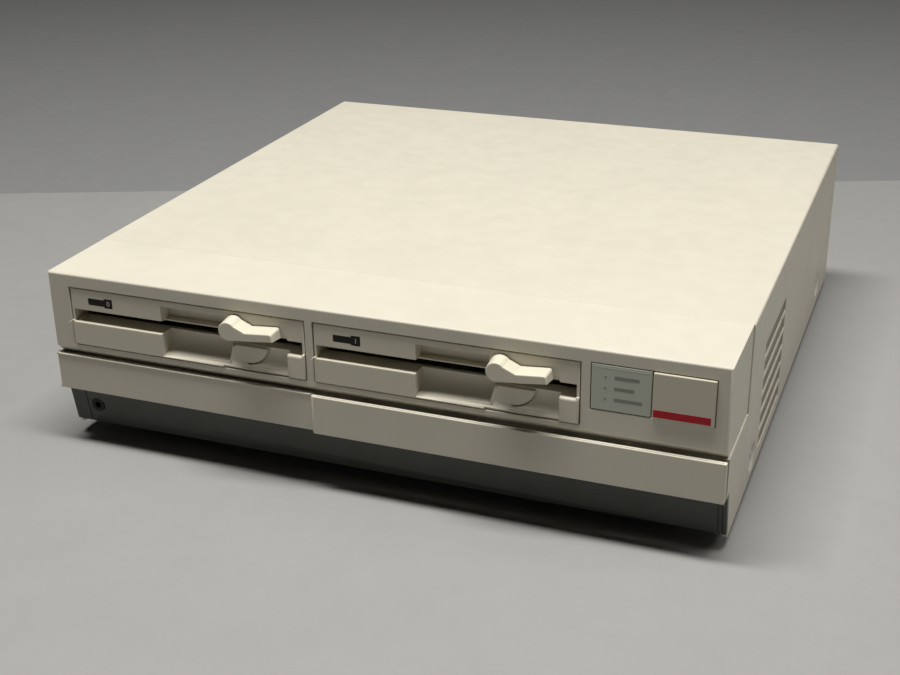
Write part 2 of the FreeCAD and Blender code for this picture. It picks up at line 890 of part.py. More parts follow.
def keyboard_socket():
    """Round keyboard connector: a shell through the back wall with a flange behind it."""
    place = (keyboard_x, control_z)
    front = control_wall_y - keyboard_proud
    body = joined(rod("y", keyboard_radius, place, (front, control_wall_back + keyboard_length)),
                  rod("y", keyboard_radius + keyboard_flange, place,
                      (control_wall_back, control_wall_back + keyboard_flange)))
    return body.cut(rod("y", keyboard_bore, place, (front - overrun, front + keyboard_bore_depth)))


def headphone_socket():
    """Headphone socket: a ring in the skirt and a round body behind it."""
    place = (jack_x, jack_z)
    front = skirt_y(jack_z) - jack_ring_proud
    back = skirt_y(jack_z - jack_body_radius) + shell + seam
    body = joined(rod("y", jack_ring_radius, place, (front, back + overrun)),
                  rod("y", jack_body_radius, place, (back, back + jack_body_length)))
    return body.cut(rod("y", jack_bore, place, (front - overrun, front + jack_bore_depth)))


# Status window and power button

def indicator_window():
    """Window plate, with a flange behind the bezel on its outer sides."""
    right = window_right - slide_gap
    flange_back = front_wall + status_flange_thickness
    plate = box((status_left + status_gap_edge, right), (window_setback, front_wall),
                (status_bottom + status_gap_edge, status_top - status_gap_edge))
    return joined(plate, box((status_left - status_flange, right), (front_wall, flange_back),
                             (status_bottom - status_flange, status_top + status_flange)))


def indicator_board():
    """Small board behind the window and the button."""
    margin = indicator_board_margin
    ys = (indicator_board_y, indicator_board_y + board_thickness)
    board = box((indicator_post_xs[0] - margin, indicator_post_xs[1] + margin), ys,
                (indicator_post_low - margin, indicator_board_top))
    return board.cut(rod("y", button_stem_radius + slide_gap, (button_x, status_middle_z),
                         (ys[0] - overrun, ys[1] + overrun)))


def indicator_leds():
    """Lamps on the board, one for each line of the window."""
    x = status_left + led_from_left
    tip = front_wall + status_flange_thickness + slide_gap + led_radius
    pieces = []
    for index in range(led_count):
        z = status_top - led_top_drop - index * led_pitch
        pieces.append(joined(rod("y", led_radius, (x, z), (tip, indicator_board_y)),
                             Part.makeSphere(led_radius, Vec(x, tip, z))))
    return group(pieces)


def power_button():
    """Wide push button with a flange behind the bezel and a stem into its switch."""
    left = window_right + slide_gap
    back = front_wall + slide_gap
    flange_back = back + status_flange_thickness
    plate = box((left, status_right - status_gap_edge), (button_setback, back),
                (status_bottom + status_gap_edge, status_top - status_gap_edge))
    plate = rounded(plate, button_edge, lambda p: near(p.y, button_setback))
    flange = box((left, status_right + status_flange), (back, flange_back),
                 (status_bottom - status_flange, status_top + status_flange))
    stem = rod("y", button_stem_radius, (button_x, status_middle_z),
               (flange_back, indicator_board_y + button_stem_overlap))
    return joined(plate, flange, stem)


def power_switch():
    """Mains switch body on the back of the indicator board."""
    front = indicator_board_y + board_thickness
    body = box(span(button_x, switch_width), (front, front + switch_length),
               span(status_middle_z, switch_height))
    return body.cut(rod("y", button_stem_radius + slide_gap, (button_x, status_middle_z),
                        (front - overrun, front + switch_bore_depth)))


# Chassis

def board_screw_places():
    """Places (x, y) of the main board's screws."""
    return [(board_left + (board_right - board_left) * share_x,
             board_start + (board_rear - board_start) * share_y)
            for share_x in board_screw_share_x for share_y in board_screw_share_y]


def foot_places():
    """Places (x, y) of the four feet."""
    return [(side * (half_width - foot_inset_x), y)
            for side in (-1, 1) for y in (foot_inset_y, case_depth - foot_inset_y)]


def grille_holes():
    """Slots in the floor under the loudspeaker."""
    holes = []
    for index in range(grille_slots):
        offset = grille_pitch * (index - (grille_slots - 1) / 2)
        length = 2 * math.sqrt(grille_radius ** 2 - offset ** 2)
        holes.append(box(span(speaker_x + offset, grille_width), span(speaker_y, length),
                         (foot_height - overrun, floor_top + overrun)))
    return holes


def chassis_tray():
    """Steel pan: floor, two slotted side walls, board posts, rear tabs and the speaker grille."""
    floor = box((-wall_outer, wall_outer), (frame_front_low + tray_setback, rear_y), (foot_height, floor_top))
    pieces = [floor]
    for side in (-1, 1):
        pieces.append(box(sorted([side * wall_inner, side * wall_outer]),
                          (bezel_depth + wall_start, rear_inside), (foot_height, foot_height + wall_height)))
    for place in board_screw_places():
        pieces.append(rod("z", board_post_radius, place, (floor_top, board_bottom)))
    for x in rear_tab_xs:
        pieces.append(box(span(x, rear_tab_width), (rear_inside - steel, rear_inside),
                          (foot_height, floor_top + rear_tab_height)))
    below = foot_height - overrun
    holes = vent_slots((-wall_outer - overrun, wall_outer + overrun), vent_ys, wall_slot, range(vent_rows))
    holes += [rod("z", screw_clear, place, (below, board_bottom + overrun)) for place in board_screw_places()]
    holes += [rod("z", screw_clear, place, (below, floor_top + overrun)) for place in foot_places()]
    holes += [rod("y", screw_clear, (x, rear_tab_z), (rear_inside - steel - overrun, rear_y))
              for x in rear_tab_xs]
    holes += [rod("x", screw_clear, place, (-wall_outer - overrun, wall_outer + overrun))
              for place in cover_screw_places()]
    return cut(joined(*pieces), *holes, *grille_holes())


def rear_panel():
    """Steel back panel with cut-outs for the inlet, the ports, the expansion slots and the air."""
    panel = box((-rear_half_width, rear_half_width), (rear_inside, rear_y), (floor_top, cover_underside))
    through = (rear_inside - overrun, rear_y + overrun)
    holes = [box(span(inlet_x, inlet_width), through, span(inlet_z, inlet_height))]
    slot_xs = (slot_cover_left + slot_cover_lap, slot_cover_left + slot_cover_width - slot_cover_lap)
    for z in slot_cover_zs:
        holes.append(box(slot_xs, through, (z + slot_cover_lap, z + slot_cover_height - slot_cover_lap)))
    holes += [box(span(x, wide_port_width), through, span(port_z, wide_port_height)) for x in wide_port_xs]
    holes += [rod("y", round_port_radius, (x, port_z), through) for x in round_port_xs]
    for index in range(air_count):
        x = air_first + index * air_pitch
        holes.append(box((x, x + air_width), through, (floor_top + air_up, floor_top + air_up + air_height)))
    holes += [rod("y", screw_clear, (x, rear_tab_z), through) for x in rear_tab_xs]
    return cut(panel, *holes)


def slot_covers():
    """Blank plates over the expansion slots."""
    return group([box((slot_cover_left, slot_cover_left + slot_cover_width), (rear_y, rear_y + steel),
                      (z, z + slot_cover_height)) for z in slot_cover_zs])


def rear_connectors():
    """Wide and round sockets in the back panel, one solid each."""
    ends = (rear_y - port_body_length, rear_y + port_proud)
    collar_ends = (rear_y, rear_y + port_flange_thickness)
    pieces = []
    for x in wide_port_xs:
        body = box(span(x, wide_port_width - 2 * hole_gap), ends, span(port_z, wide_port_height - 2 * hole_gap))
        collar = box(span(x, wide_port_width + 2 * port_flange), collar_ends,
                     span(port_z, wide_port_height + port_flange))
        pieces.append(joined(body, collar))
    for x in round_port_xs:
        pieces.append(joined(rod("y", round_port_radius - hole_gap, (x, port_z), ends),
                             rod("y", round_port_radius + port_flange / 2, (x, port_z), collar_ends)))
    return group(pieces)


def mains_inlet():
    """Recessed mains inlet with three blades."""
    width = inlet_width - 2 * hole_gap
    height = inlet_height - 2 * hole_gap
    mouth = rear_y + inlet_flange_thickness
    cavity_back = mouth - inlet_cavity_depth
    body = joined(box(span(inlet_x, width), (cavity_back - inlet_back, mouth), span(inlet_z, height)),
                  box(span(inlet_x, width + 2 * inlet_flange), (rear_y, mouth),
                      span(inlet_z, height + 2 * inlet_flange)))
    body = body.cut(box(span(inlet_x, width - 2 * inlet_wall), (cavity_back, mouth + overrun),
                        span(inlet_z, height - 2 * inlet_wall)))
    blades = []
    for index in (-1, 0, 1):
        z = inlet_z + blade_width * (1 - 2 * abs(index))
        blades.append(box(span(inlet_x + index * blade_pitch, blade_width),
                          (cavity_back - overrun, cavity_back + blade_length), span(z, blade_height)))
    return joined(body, *blades)


def drive_shelf():
    """Steel bridge that carries both drives over the main board, on two flanged legs."""
    left = -wall_inner + slide_gap
    right = shelf_leg_x + steel
    leg_ys = (bezel_depth + shelf_leg_start, cable_start)
    shelf = joined(box((left, right), (face_back, cable_start), (shelf_bottom, drive_bottom)),
                   box((left, left + steel), leg_ys, (floor_top, drive_bottom)),
                   box((right - steel, right), leg_ys, (floor_top, drive_bottom)),
                   box((left, left + shelf_foot), leg_ys, (floor_top, floor_top + steel)),
                   box((right - shelf_foot, right), leg_ys, (floor_top, floor_top + steel)))
    # The left leg is slotted beside the rows of the side wall, up to the plate.
    rows = [row for row in range(vent_rows)
            if vent_bottom + vent_pitch * (row + 1 / 2) + wall_slot < shelf_bottom]
    slot_ys = (leg_ys[0] + leg_slot_front, leg_ys[1] - leg_slot_back)
    return cut(shelf, *vent_slots((left - overrun, left + steel + overrun), slot_ys, wall_slot, rows[1:]))


def main_board():
    """Main circuit board on the posts of the pan."""
    board = box((board_left, board_right), (board_start, board_rear), (board_bottom, board_top))
    return cut(board, *[rod("z", screw_clear, place, (board_bottom - overrun, board_top + overrun))
                        for place in board_screw_places()])


def board_chips():
    """Rows of chips on the main board, behind the cable headers."""
    first = header_y + header_depth / 2 + chip_header_gap
    step_y = (board_rear - chip_margin - chip_length - first) / (chip_rows - 1)
    step_x = (board_right - board_left - 2 * chip_margin - chip_width) / (chip_columns - 1)
    pieces = []
    for row in range(chip_rows):
        for column in range(chip_columns):
            x = board_left + chip_margin + step_x * column
            y = first + step_y * row
            pieces.append(box((x, x + chip_width), (y, y + chip_length), (board_top, board_top + chip_height)))
    return group(pieces)


def power_supply_case():
    """Folded steel box round the power supply, open below, where the pan closes it."""
    case = box((psu_left, psu_right), (psu_front, psu_back), (floor_top, psu_top))
    case = case.cut(box((psu_left + steel, psu_right - steel), (psu_front + steel, psu_back - steel),
                        (floor_top - overrun, psu_top - steel)))
    slots = []
    for index in range(psu_slot_count):
        y = psu_front + psu_slot_start + index * psu_slot_pitch
        slots.append(box((psu_left + psu_slot_margin, psu_right - psu_slot_margin), (y, y + psu_slot_width),
                         (psu_top - steel - overrun, psu_top + overrun)))
    return cut(case, *slots)


def power_supply_board():
    """Power supply board on four posts, with a transformer, capacitors and a heat sink."""
    left = psu_left + steel + psu_board_margin
    right = psu_right - steel - psu_board_margin
    front = psu_front + steel + psu_board_margin
    back = psu_back - steel - psu_board_margin
    bottom = floor_top + psu_board_lift
    board = box((left, right), (front, back), (bottom, psu_board_top))
    for x in (left + psu_post_inset, right - psu_post_inset):
        for y in (front + psu_post_inset, back - psu_post_inset):
            board = board.fuse(rod("z", psu_post_radius, (x, y), (floor_top, bottom)))
    middle = (left + right) / 2
    core_ys = (front + core_start, front + core_start + core_length)
    pieces = [board.removeSplitter(),
              box(span(middle, core_width), core_ys, (psu_board_top, psu_board_top + core_height))]
    for index in range(capacitor_count):
        pieces.append(rod("z", capacitor_radius, (middle, front + capacitor_start + index * capacitor_pitch),
                          (psu_board_top, psu_board_top + capacitor_height)))
    sink_left = left + psu_board_margin
    pieces.append(box((sink_left, sink_left + sink_thickness), (core_ys[1] + sink_gap, back - psu_board_margin),
                      (psu_board_top, psu_board_top + sink_height)))
    return group(pieces)


def speaker():
    """Round loudspeaker over the grille in the pan."""
    place = (speaker_x, speaker_y)
    rim_top = floor_top + speaker_rim
    cone_top = rim_top + speaker_cone
    body = joined(rod("z", speaker_radius, place, (floor_top, rim_top)),
                  Part.makeCone(speaker_radius - speaker_rim, speaker_magnet_radius, speaker_cone,
                                Vec(*place, rim_top)),
                  rod("z", speaker_magnet_radius, place, (cone_top, cone_top + speaker_magnet_height)))
    return body.cut(Part.makeCone(speaker_radius - 2 * speaker_rim, speaker_magnet_radius - 2 * speaker_rim,
                                  speaker_cone, Vec(*place, floor_top)))


def feet():
    """Four rubber feet with recessed screws."""
    pieces = []
    for place in foot_places():
        foot = Part.makeCone(foot_tip_radius, foot_radius, foot_height, Vec(*place, 0))
        pieces.append(foot.cut([rod("z", screw_head_radius + slide_gap, place, (-overrun, foot_screw_seat)),
                                rod("z", screw_clear, place, (0, foot_height + overrun))]))
    return group(pieces)


def cover_screws():
    """Screws that hold the cover's sides to the pan."""
    seat = wall_outer + sheet
    return group([screw("x", side * seat, place, side) for side in (-1, 1) for place in cover_screw_places()])


def chassis_screws():
    """Screws of the feet, the main board and the back panel."""
    pieces = [screw("z", foot_screw_seat, place, -1) for place in foot_places()]
    pieces += [screw("z", board_top, place, 1) for place in board_screw_places()]
    pieces += [screw("y", rear_y, (x, rear_tab_z), 1) for x in rear_tab_xs]
    return group(pieces)


# Drive units; each function takes the x of the drive's centre

def lamp_blocks(cx, inset):
    """The joined blocks of the lamp window and its label, drawn in by an inset."""
    ys = (face_setback, face_setback + lamp_depth)
    lamp_top = bay_top - lamp_drop
    label_top = bay_top - label_drop
    lamp_right = cx + lamp_left + lamp_width
    return joined(box((cx + lamp_left + inset, lamp_right + inset), ys,
                      (lamp_top - lamp_height + inset, lamp_top - inset)),
                  box((lamp_right + inset, lamp_right + label_width - inset), ys,
                      (label_top - label_height + inset, label_top - inset)))


def lamp_windows():
    """Dark lamp window of each drive."""
    return group([lamp_blocks(cx, hole_gap) for cx in drive_centres])


def scoop(cx, xs, depth, front):
    """Finger scoop below the slot: a concave sweep from the bottom edge up to a deep wall."""
    low = face_low + scoop_low
    rise = throat_bottom - low
    x = cx + xs[0]
    foot = Vec(x, front, low)
    bend = Vec(x, face_setback + depth * scoop_bend_depth_share, low + rise * scoop_bend_height_share)
    wall = Vec(x, face_setback + depth, throat_bottom)
    roof = Vec(x, jaw_y - overrun, throat_bottom)
    start = Vec(x, jaw_y - overrun, low)
    edges = [Part.makeLine(start, foot), Part.Arc(foot, bend, wall).toShape(),
             Part.makeLine(wall, roof), Part.makeLine(roof, start)]
    return Part.Face(Part.Wire(edges)).extrude(Vec(xs[1] - xs[0], 0, 0))


def slot_cuts(cx):
    """Cuts of the disk slot: throat, flared mouth over a rounded lip, and the lower right end."""
    front = jaw_y - overrun
    mouth_back = face_setback + slot_mouth_depth
    turns = [math.pi / 2 * step / lip_steps for step in range(lip_steps + 1)]
    lip = [(front, slot_bottom - lip_round)]
    lip += [(jaw_y + lip_round * (1 - math.cos(turn)), slot_bottom - lip_round * (1 - math.sin(turn)))
            for turn in turns]
    mouth = lip + [(mouth_back, throat_bottom), (mouth_back, throat_top),
                   (face_setback + slot_lip, slot_top), (front, slot_top)]
    end = [(y, z - slot_end_drop) for y, z in lip] + [(mouth_back, throat_bottom), (front, throat_bottom)]
    xs = (cx + slot_left, cx + slot_right)
    return [box(xs, (front, face_back + overrun), (throat_bottom, throat_top)), prism_x(mouth, xs),
            prism_x(end, (cx + scoop_right, cx + slot_right))]


def notch_cuts(cx):
    """Cuts above the slot: the deep notch, its lip, and the shallow recess behind the lever."""
    xs = (cx + notch_left, cx + notch_right)
    front = face_setback - overrun
    notch_top = bay_top - notch_drop
    return [box(xs, (front, face_setback + notch_depth), (throat_top + slot_lip, notch_top)),
            box(xs, (front, face_setback + slot_mouth_depth), (throat_bottom, notch_top)),
            box((cx + notch_right, cx + scoop_right), (front, face_setback + brow_depth),
                (throat_bottom, bay_top - brow_drop))]


def face_boss(cx):
    """Raised boss under the lever: a quarter disc beside a block with a leaning, rounded left side."""
    front = face_setback + boss_setback
    top = throat_bottom - slot_lip
    disc = rod("y", boss_radius, (cx + boss_x, disk_z - boss_drop), (front, face_back))
    keep = box((cx + boss_x, cx + scoop_right), (front, face_back), (face_low, top))
    foot = Vec(cx + boss_left, front, face_low)
    bend = Vec(cx + boss_left + boss_lean * boss_bend_share, front, (face_low + top) / 2)
    head = Vec(cx + boss_left + boss_lean, front, top)
    inner = [Vec(cx + boss_x, front, top), Vec(cx + boss_x, front, face_low)]
    edges = [Part.Arc(foot, bend, head).toShape(), Part.makeLine(head, inner[0]),
             Part.makeLine(*inner), Part.makeLine(inner[1], foot)]
    side = Part.Face(Part.Wire(edges)).extrude(Vec(0, face_back - front, 0))
    side = rounded(side, boss_corner, lambda p: near(p.y, front) and p.x < head.x)
    return joined(disc.common(keep), side)


def boss_groove_cut(cx):
    """Narrow groove round the quarter disc of the boss."""
    place = (cx + boss_x, disk_z - boss_drop)
    ys = (face_setback, face_setback + scoop_shallow + slot_lip)
    ring = rod("y", boss_radius + hole_gap, place, ys).cut(rod("y", boss_radius - boss_groove, place, ys))
    low_top = throat_bottom - slot_lip
    return ring.common(box((cx + boss_x - boss_groove, cx + scoop_right), ys, (face_low, low_top)))


def drive_face(cx):
    """Drive front with slot, notch, finger scoops, lever boss, lamp pocket and shaft bushing."""
    pivot = (cx + pivot_from_centre, pivot_z)
    body = box((cx - face_half, cx + face_half), (face_setback, face_back), (face_low, face_high))
    body = rounded(body, drive_edge, lambda p: near(p.y, face_setback))
    for xs in ((-face_half, boss_left), (scoop_right, face_half)):
        jaw = box((cx + xs[0], cx + xs[1]), (jaw_y, face_setback + drive_edge), (face_low, slot_bottom))
        jaw = rounded(jaw, drive_edge, lambda p: near(p.y, jaw_y) and p.z < slot_bottom - drive_edge)
        body = body.fuse(jaw)
    body = body.cut(slot_cuts(cx) + notch_cuts(cx))
    scoop_split = boss_left + boss_lean / 2
    body = body.cut([scoop(cx, (notch_left, boss_left + boss_lean), scoop_deep, jaw_y),
                     scoop(cx, (scoop_split, scoop_right), scoop_shallow, face_setback)])
    bushing = rod("y", bushing_radius, pivot, (face_setback, face_back + bushing_length))
    body = body.fuse([face_boss(cx), bushing])
    bore = rod("y", lever_shaft_radius + running_gap, pivot,
               (face_setback - overrun, face_back + bushing_length + overrun))
    return cut(body, lamp_blocks(cx, 0), bore, boss_groove_cut(cx))


def logic_post_places(cx):
    """Places (x, y) of the posts that carry the drive's own board."""
    reach = drive_half - logic_post_inset
    rows = (face_back + logic_post_inset, pulley_y - stepper_radius - logic_cut_gap - logic_post_radius * 2)
    return [(cx + side * reach, y) for side in (-1, 1) for y in rows]


def drive_frame(cx):
    """Cast frame: two side walls, a deck with openings, board posts and rail blocks."""
    ys = (face_back, drive_rear)
    open_ys = (ys[0] - overrun, ys[1] + overrun)
    inner = (cx - drive_inner_half, cx + drive_inner_half)
    frame = box((cx - drive_half, cx + drive_half), ys, (drive_bottom, drive_top))
    frame = frame.cut([box(inner, open_ys, (deck_top, drive_top + overrun)),
                       box(inner, open_ys, (drive_bottom - overrun, deck_bottom))])
    pieces = [rod("z", logic_post_radius, place, (logic_top, deck_bottom)) for place in logic_post_places(cx)]
    rail_xs = (cx - rail_spread, cx + rail_spread)
    block_top = rail_z + rail_radius + rail_block_cap
    for x in rail_xs:
        for ends in ((rail_front, rail_front + rail_block_length), (rail_back - rail_block_length, rail_back)):
            pieces.append(box(span(x, rail_block_width), ends, (deck_top, block_top)))
    through = (deck_bottom - overrun, deck_top + overrun)
    holes = [rod("z", spindle_boss_radius + slide_gap, (cx, spindle_y), through),
             rod("z", stepper_boss_radius + slide_gap, (cx + pulley_x, pulley_y), through)]
    holes += [rod("y", rail_radius + running_gap, (x, rail_z), (rail_front - overrun, rail_back + overrun))
              for x in rail_xs]
    # Upright slots in the side walls guide the clamp arm.
    guide_bottom = clamp_plate_bottom - clamp_travel - slide_gap
    holes.append(box((cx - drive_half - overrun, cx + drive_half + overrun),
                     (clamp_tab_ys[0] - slide_gap, clamp_tab_ys[1] + slide_gap),
                     (guide_bottom, drive_top + overrun)))
    return cut(joined(frame, *pieces), *holes)


def handle_outline(cx, y, inset):
    """Outline of the lever's bent handle at a depth, drawn in by an inset."""
    hub = lever_hub_radius - inset
    lean = math.atan2(lever_hub_radius - lever_kink_up, lever_kink_out / 2)
    points = [(hub * math.cos(lean), hub * math.sin(lean)),
              (lever_kink_out, lever_kink_up - inset),
              (lever_length - lever_tip_slant - inset, lever_tip_up - inset),
              (lever_length - inset, -lever_tip_down + inset),
              (lever_belly_out, -lever_belly_down + inset),
              (0, -hub), (0, 0)]
    corners = [Vec(cx + pivot_from_centre + x, y, pivot_z + z) for x, z in points]
    return Part.makePolygon(corners + corners[:1])


def drive_lever(cx):
    """Turn lever: a drafted round hub with a bent handle, bored from behind for its shaft."""
    front = -lever_reach
    x = cx + pivot_from_centre
    hub = Part.makeCone(lever_hub_radius - lever_draft, lever_hub_radius, lever_back - front,
                        Vec(x, front, pivot_z), Vec(0, 1, 0))
    outlines = [handle_outline(cx, front, lever_draft), handle_outline(cx, lever_back, 0)]
    handle = rounded(Part.makeLoft(outlines, True, True), lever_tip_round,
                     lambda p: p.x > x + lever_kink_out * 2 and p.z > pivot_z + lever_tip_up / 2)
    lever = rounded(joined(hub, handle), lever_edge, lambda p: near(p.y, front))
    return lever.cut(rod("y", lever_shaft_radius + running_gap, (x, pivot_z),
                         (lever_back - lever_bore_depth, lever_back + overrun)))


def drive_lever_shaft(cx):
    """Steel shaft behind the lever, with a cam under the clamp arm."""
    x = cx + pivot_from_centre
    cam_ends = (clamp_front + cam_inset, clamp_front + cam_inset + cam_length)
    tip_z = pivot_z + cam_reach - cam_tip
    return joined(rod("y", lever_shaft_radius, (x, pivot_z), (lever_back - lever_shaft_entry, cam_ends[1])),
                  rod("y", cam_tip, (x, tip_z), cam_ends),
                  box((x - cam_tip, x + cam_tip), cam_ends, (pivot_z, tip_z)))


def drive_clamp_arm(cx):
    """Plate that lowers the clamp hub, guided by tabs in the side walls."""
    zs = (clamp_plate_bottom, clamp_plate_bottom + clamp_plate)
    half = drive_inner_half - slide_gap
    tab_half = drive_half - slide_gap
    return joined(box((cx - half, cx + half), span(spindle_y, clamp_width), zs),
                  box((cx - tab_half, cx + tab_half), clamp_tab_ys, zs),
                  rod("z", hub_pin_radius, (cx, spindle_y), (clamp_hub_bottom + clamp_travel, zs[1])))


def drive_clamp_hub(cx):
    """Round hub that presses the disk on the spindle, turning on the arm's pin."""
    place = (cx, spindle_y)
    top = clamp_plate_bottom - slide_gap
    hub = joined(rod("z", clamp_hub_radius, place, (clamp_hub_bottom, clamp_hub_bottom + clamp_hub_rim)),
                 rod("z", clamp_neck_radius, place, (clamp_hub_bottom, top)))
    return hub.cut(rod("z", hub_pin_radius + running_gap, place,
                       (clamp_hub_bottom + clamp_travel - slide_gap, top + overrun)))


def drive_spindle(cx):
    """Spindle: disk hub above the deck, shaft, and flat rotor below it."""
    place = (cx, spindle_y)
    hub = rod("z", hub_radius, place, (deck_top + boss_proud + slide_gap, disk_z))
    hub = rounded(hub, hub_edge, lambda p: near(p.z, disk_z))
    return joined(hub, rod("z", spindle_shaft_radius, place, (rotor_top - rotor_height, deck_top + hub_edge)),
                  rod("z", rotor_radius, place, (rotor_top - rotor_height, rotor_top)))


def drive_spindle_motor(cx):
    """Motor stator under the deck with a bearing boss through it."""
    place = (cx, spindle_y)
    low = deck_bottom - stator_height
    motor = joined(rod("z", stator_radius, place, (low, deck_bottom)),
                   rod("z", spindle_boss_radius, place, (low, deck_top + boss_proud)))
    return motor.cut(rod("z", spindle_shaft_radius + running_gap, place, (low - overrun, deck_top + overrun)))


def drive_head_carriage(cx):
    """Head carriage on two rails: lower body, rear bridge, upper arm, two heads and the drive strip."""
    low_top = disk_z - carriage_drop
    arm_low = disk_z + arm_up
    arm_high = arm_low + arm_thickness
    ys = (head_y - carriage_front, head_y + carriage_back)
    edge = cx + carriage_half_width
    carriage = joined(box(span(cx, 2 * carriage_half_width), ys, (deck_top + carriage_clear, low_top)),
                      box(span(cx, 2 * arm_half), (ys[1] - carriage_bridge, ys[1]), (low_top, arm_high)),
                      box(span(cx, 2 * arm_half), ys, (arm_low, arm_high)),
                      rod("z", head_radius, (cx, head_y), (low_top, disk_z - head_gap)),
                      rod("z", head_radius, (cx, head_y), (disk_z + head_gap, arm_low)),
                      box((edge, edge + strip_thickness), ys, (deck_top + strip_margin, low_top - slide_gap)))
    return cut(carriage, *[rod("y", rail_radius + running_gap, (x, rail_z), (ys[0] - overrun, ys[1] + overrun))
                           for x in (cx - rail_spread, cx + rail_spread)])


def head_rails():
    """Steel rails of both head carriages."""
    return group([rod("y", rail_radius, (cx + side * rail_spread, rail_z), (rail_front, rail_back))
                  for cx in drive_centres for side in (-1, 1)])


def drive_stepper_motor(cx):
    """Flat stepper motor under the deck, its boss through the deck."""
    place = (cx + pulley_x, pulley_y)
    motor = joined(rod("z", stepper_radius, place, (drive_bottom + slide_gap, deck_bottom)),
                   rod("z", stepper_boss_radius, place, (deck_bottom - overrun, deck_top + boss_proud)))
    return motor.cut(rod("z", pulley_shaft_radius + running_gap, place,
                         (drive_bottom + stepper_floor, deck_top + overrun)))


def drive_stepper_pulley(cx):
    """Pulley on the stepper's shaft, which draws the carriage's strip along."""
    place = (cx + pulley_x, pulley_y)
    low = deck_top + boss_proud + slide_gap
    return joined(rod("z", pulley_shaft_radius, place, (drive_bottom + stepper_floor + slide_gap, low)),
                  rod("z", pulley_radius, place, (low, low + pulley_height)))


def drive_logic_board(cx):
    """The drive's own board under the deck, cut away round the stepper."""
    half = drive_inner_half - logic_side_gap
    board = box((cx - half, cx + half), (face_back + logic_front_gap, cable_start), (logic_bottom, logic_top))
    reach = stepper_radius + logic_cut_gap
    return board.cut(box((cx + pulley_x - reach, cx + half + overrun), span(pulley_y, 2 * reach),
                         (logic_bottom - overrun, logic_top + overrun)))


def ribbon(x):
    """Flat cable: straight back from the drive, one round bend, then down to the board."""
    start = cable_start + plug_length
    centre_y = start + ribbon_run
    centre_z = logic_middle - ribbon_bend
    left = x - ribbon_width / 2

    def strand(radius):
        """Start, bend and end of one face of the cable."""
        bend = [Vec(left, centre_y + radius * math.sin(angle), centre_z + radius * math.cos(angle))
                for angle in (0, math.pi / 4, math.pi / 2)]
        end = Vec(left, centre_y + radius, board_top + header_height)
        return Vec(left, start, centre_z + radius), bend, end

    outer_start, outer, outer_end = strand(ribbon_bend + ribbon_thickness / 2)
    inner_start, inner, inner_end = strand(ribbon_bend - ribbon_thickness / 2)
    edges = [Part.makeLine(outer_start, outer[0]), Part.Arc(*outer).toShape(),
             Part.makeLine(outer[2], outer_end), Part.makeLine(outer_end, inner_end),
             Part.makeLine(inner_end, inner[2]),
             Part.Arc(inner[2], inner[1], inner[0]).toShape(), Part.makeLine(inner[0], inner_start),
             Part.makeLine(inner_start, outer_start)]
    return Part.Face(Part.Wire(edges)).extrude(Vec(ribbon_width, 0, 0))


def drive_cables():
    """Flat cable of each drive, with the plugs on its ends."""
    pieces = []
    for cx in drive_centres:
        x = cx + cable_from_centre
        plug_xs = span(x, plug_width)
        pieces.append(box(plug_xs, (cable_start, cable_start + plug_length), span(logic_middle, plug_height)))
        pieces.append(ribbon(x))
        pieces.append(box(plug_xs, span(header_y, header_depth), (board_top, board_top + header_height)))
    return group(pieces)


# Nodes

def build():
    """Makes and writes every node."""
    os.makedirs("parts", exist_ok=True)
    save("top_cover", top_cover())
    save("front_bezel", front_bezel())
    save("lower_front_frame", lower_front_frame())
    save("right_front_panel", right_front_panel())
    save("front_door", front_door())
    save("front_skirt", front_skirt())
    save("control_panel", control_panel())
    save("volume_knob", volume_knob())
    save("volume_control", volume_control())
    save("reset_button", push_key(reset_x))
    save("interrupt_button", push_key(interrupt_x))
    save("control_board", control_board())
    save("keyboard_socket", keyboard_socket())
    save("headphone_socket", headphone_socket())
    save("indicator_window", indicator_window())
    save("indicator_board", indicator_board())
    save("indicator_leds", indicator_leds())
    save("power_button", power_button())
    save("power_switch", power_switch())
    save("chassis_tray", chassis_tray())
    save("rear_panel", rear_panel())
    save("slot_covers", slot_covers())
    save("rear_connectors", rear_connectors())
    save("mains_inlet", mains_inlet())
    save("drive_shelf", drive_shelf())
    save("main_board", main_board())
    save("board_chips", board_chips())
    save("power_supply_case", power_supply_case())
    save("power_supply_board", power_supply_board())
    save("speaker", speaker())
    save("feet", feet())
    save("cover_screws", cover_screws())
    save("chassis_screws", chassis_screws())
    save("lamp_windows", lamp_windows())
    save("head_rails", head_rails())
    save("drive_cables", drive_cables())
    drive_pieces = {"frame": drive_frame, "face": drive_face, "lever": drive_lever,
                    "lever_shaft": drive_lever_shaft, "clamp_arm": drive_clamp_arm,
                    "clamp_hub": drive_clamp_hub, "spindle": drive_spindle,
                    "spindle_motor": drive_spindle_motor, "head_carriage": drive_head_carriage,
                    "stepper_motor": drive_stepper_motor, "stepper_pulley": drive_stepper_pulley,
                    "logic_board": drive_logic_board}
    for side, cx in zip(("left", "right"), drive_centres):
        for piece, maker in drive_pieces.items():
            save(side + "_drive_" + piece, maker(cx))


build()
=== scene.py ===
import bpy
import bmesh
import json
import math
from mathutils import Matrix, Quaternion, Vector


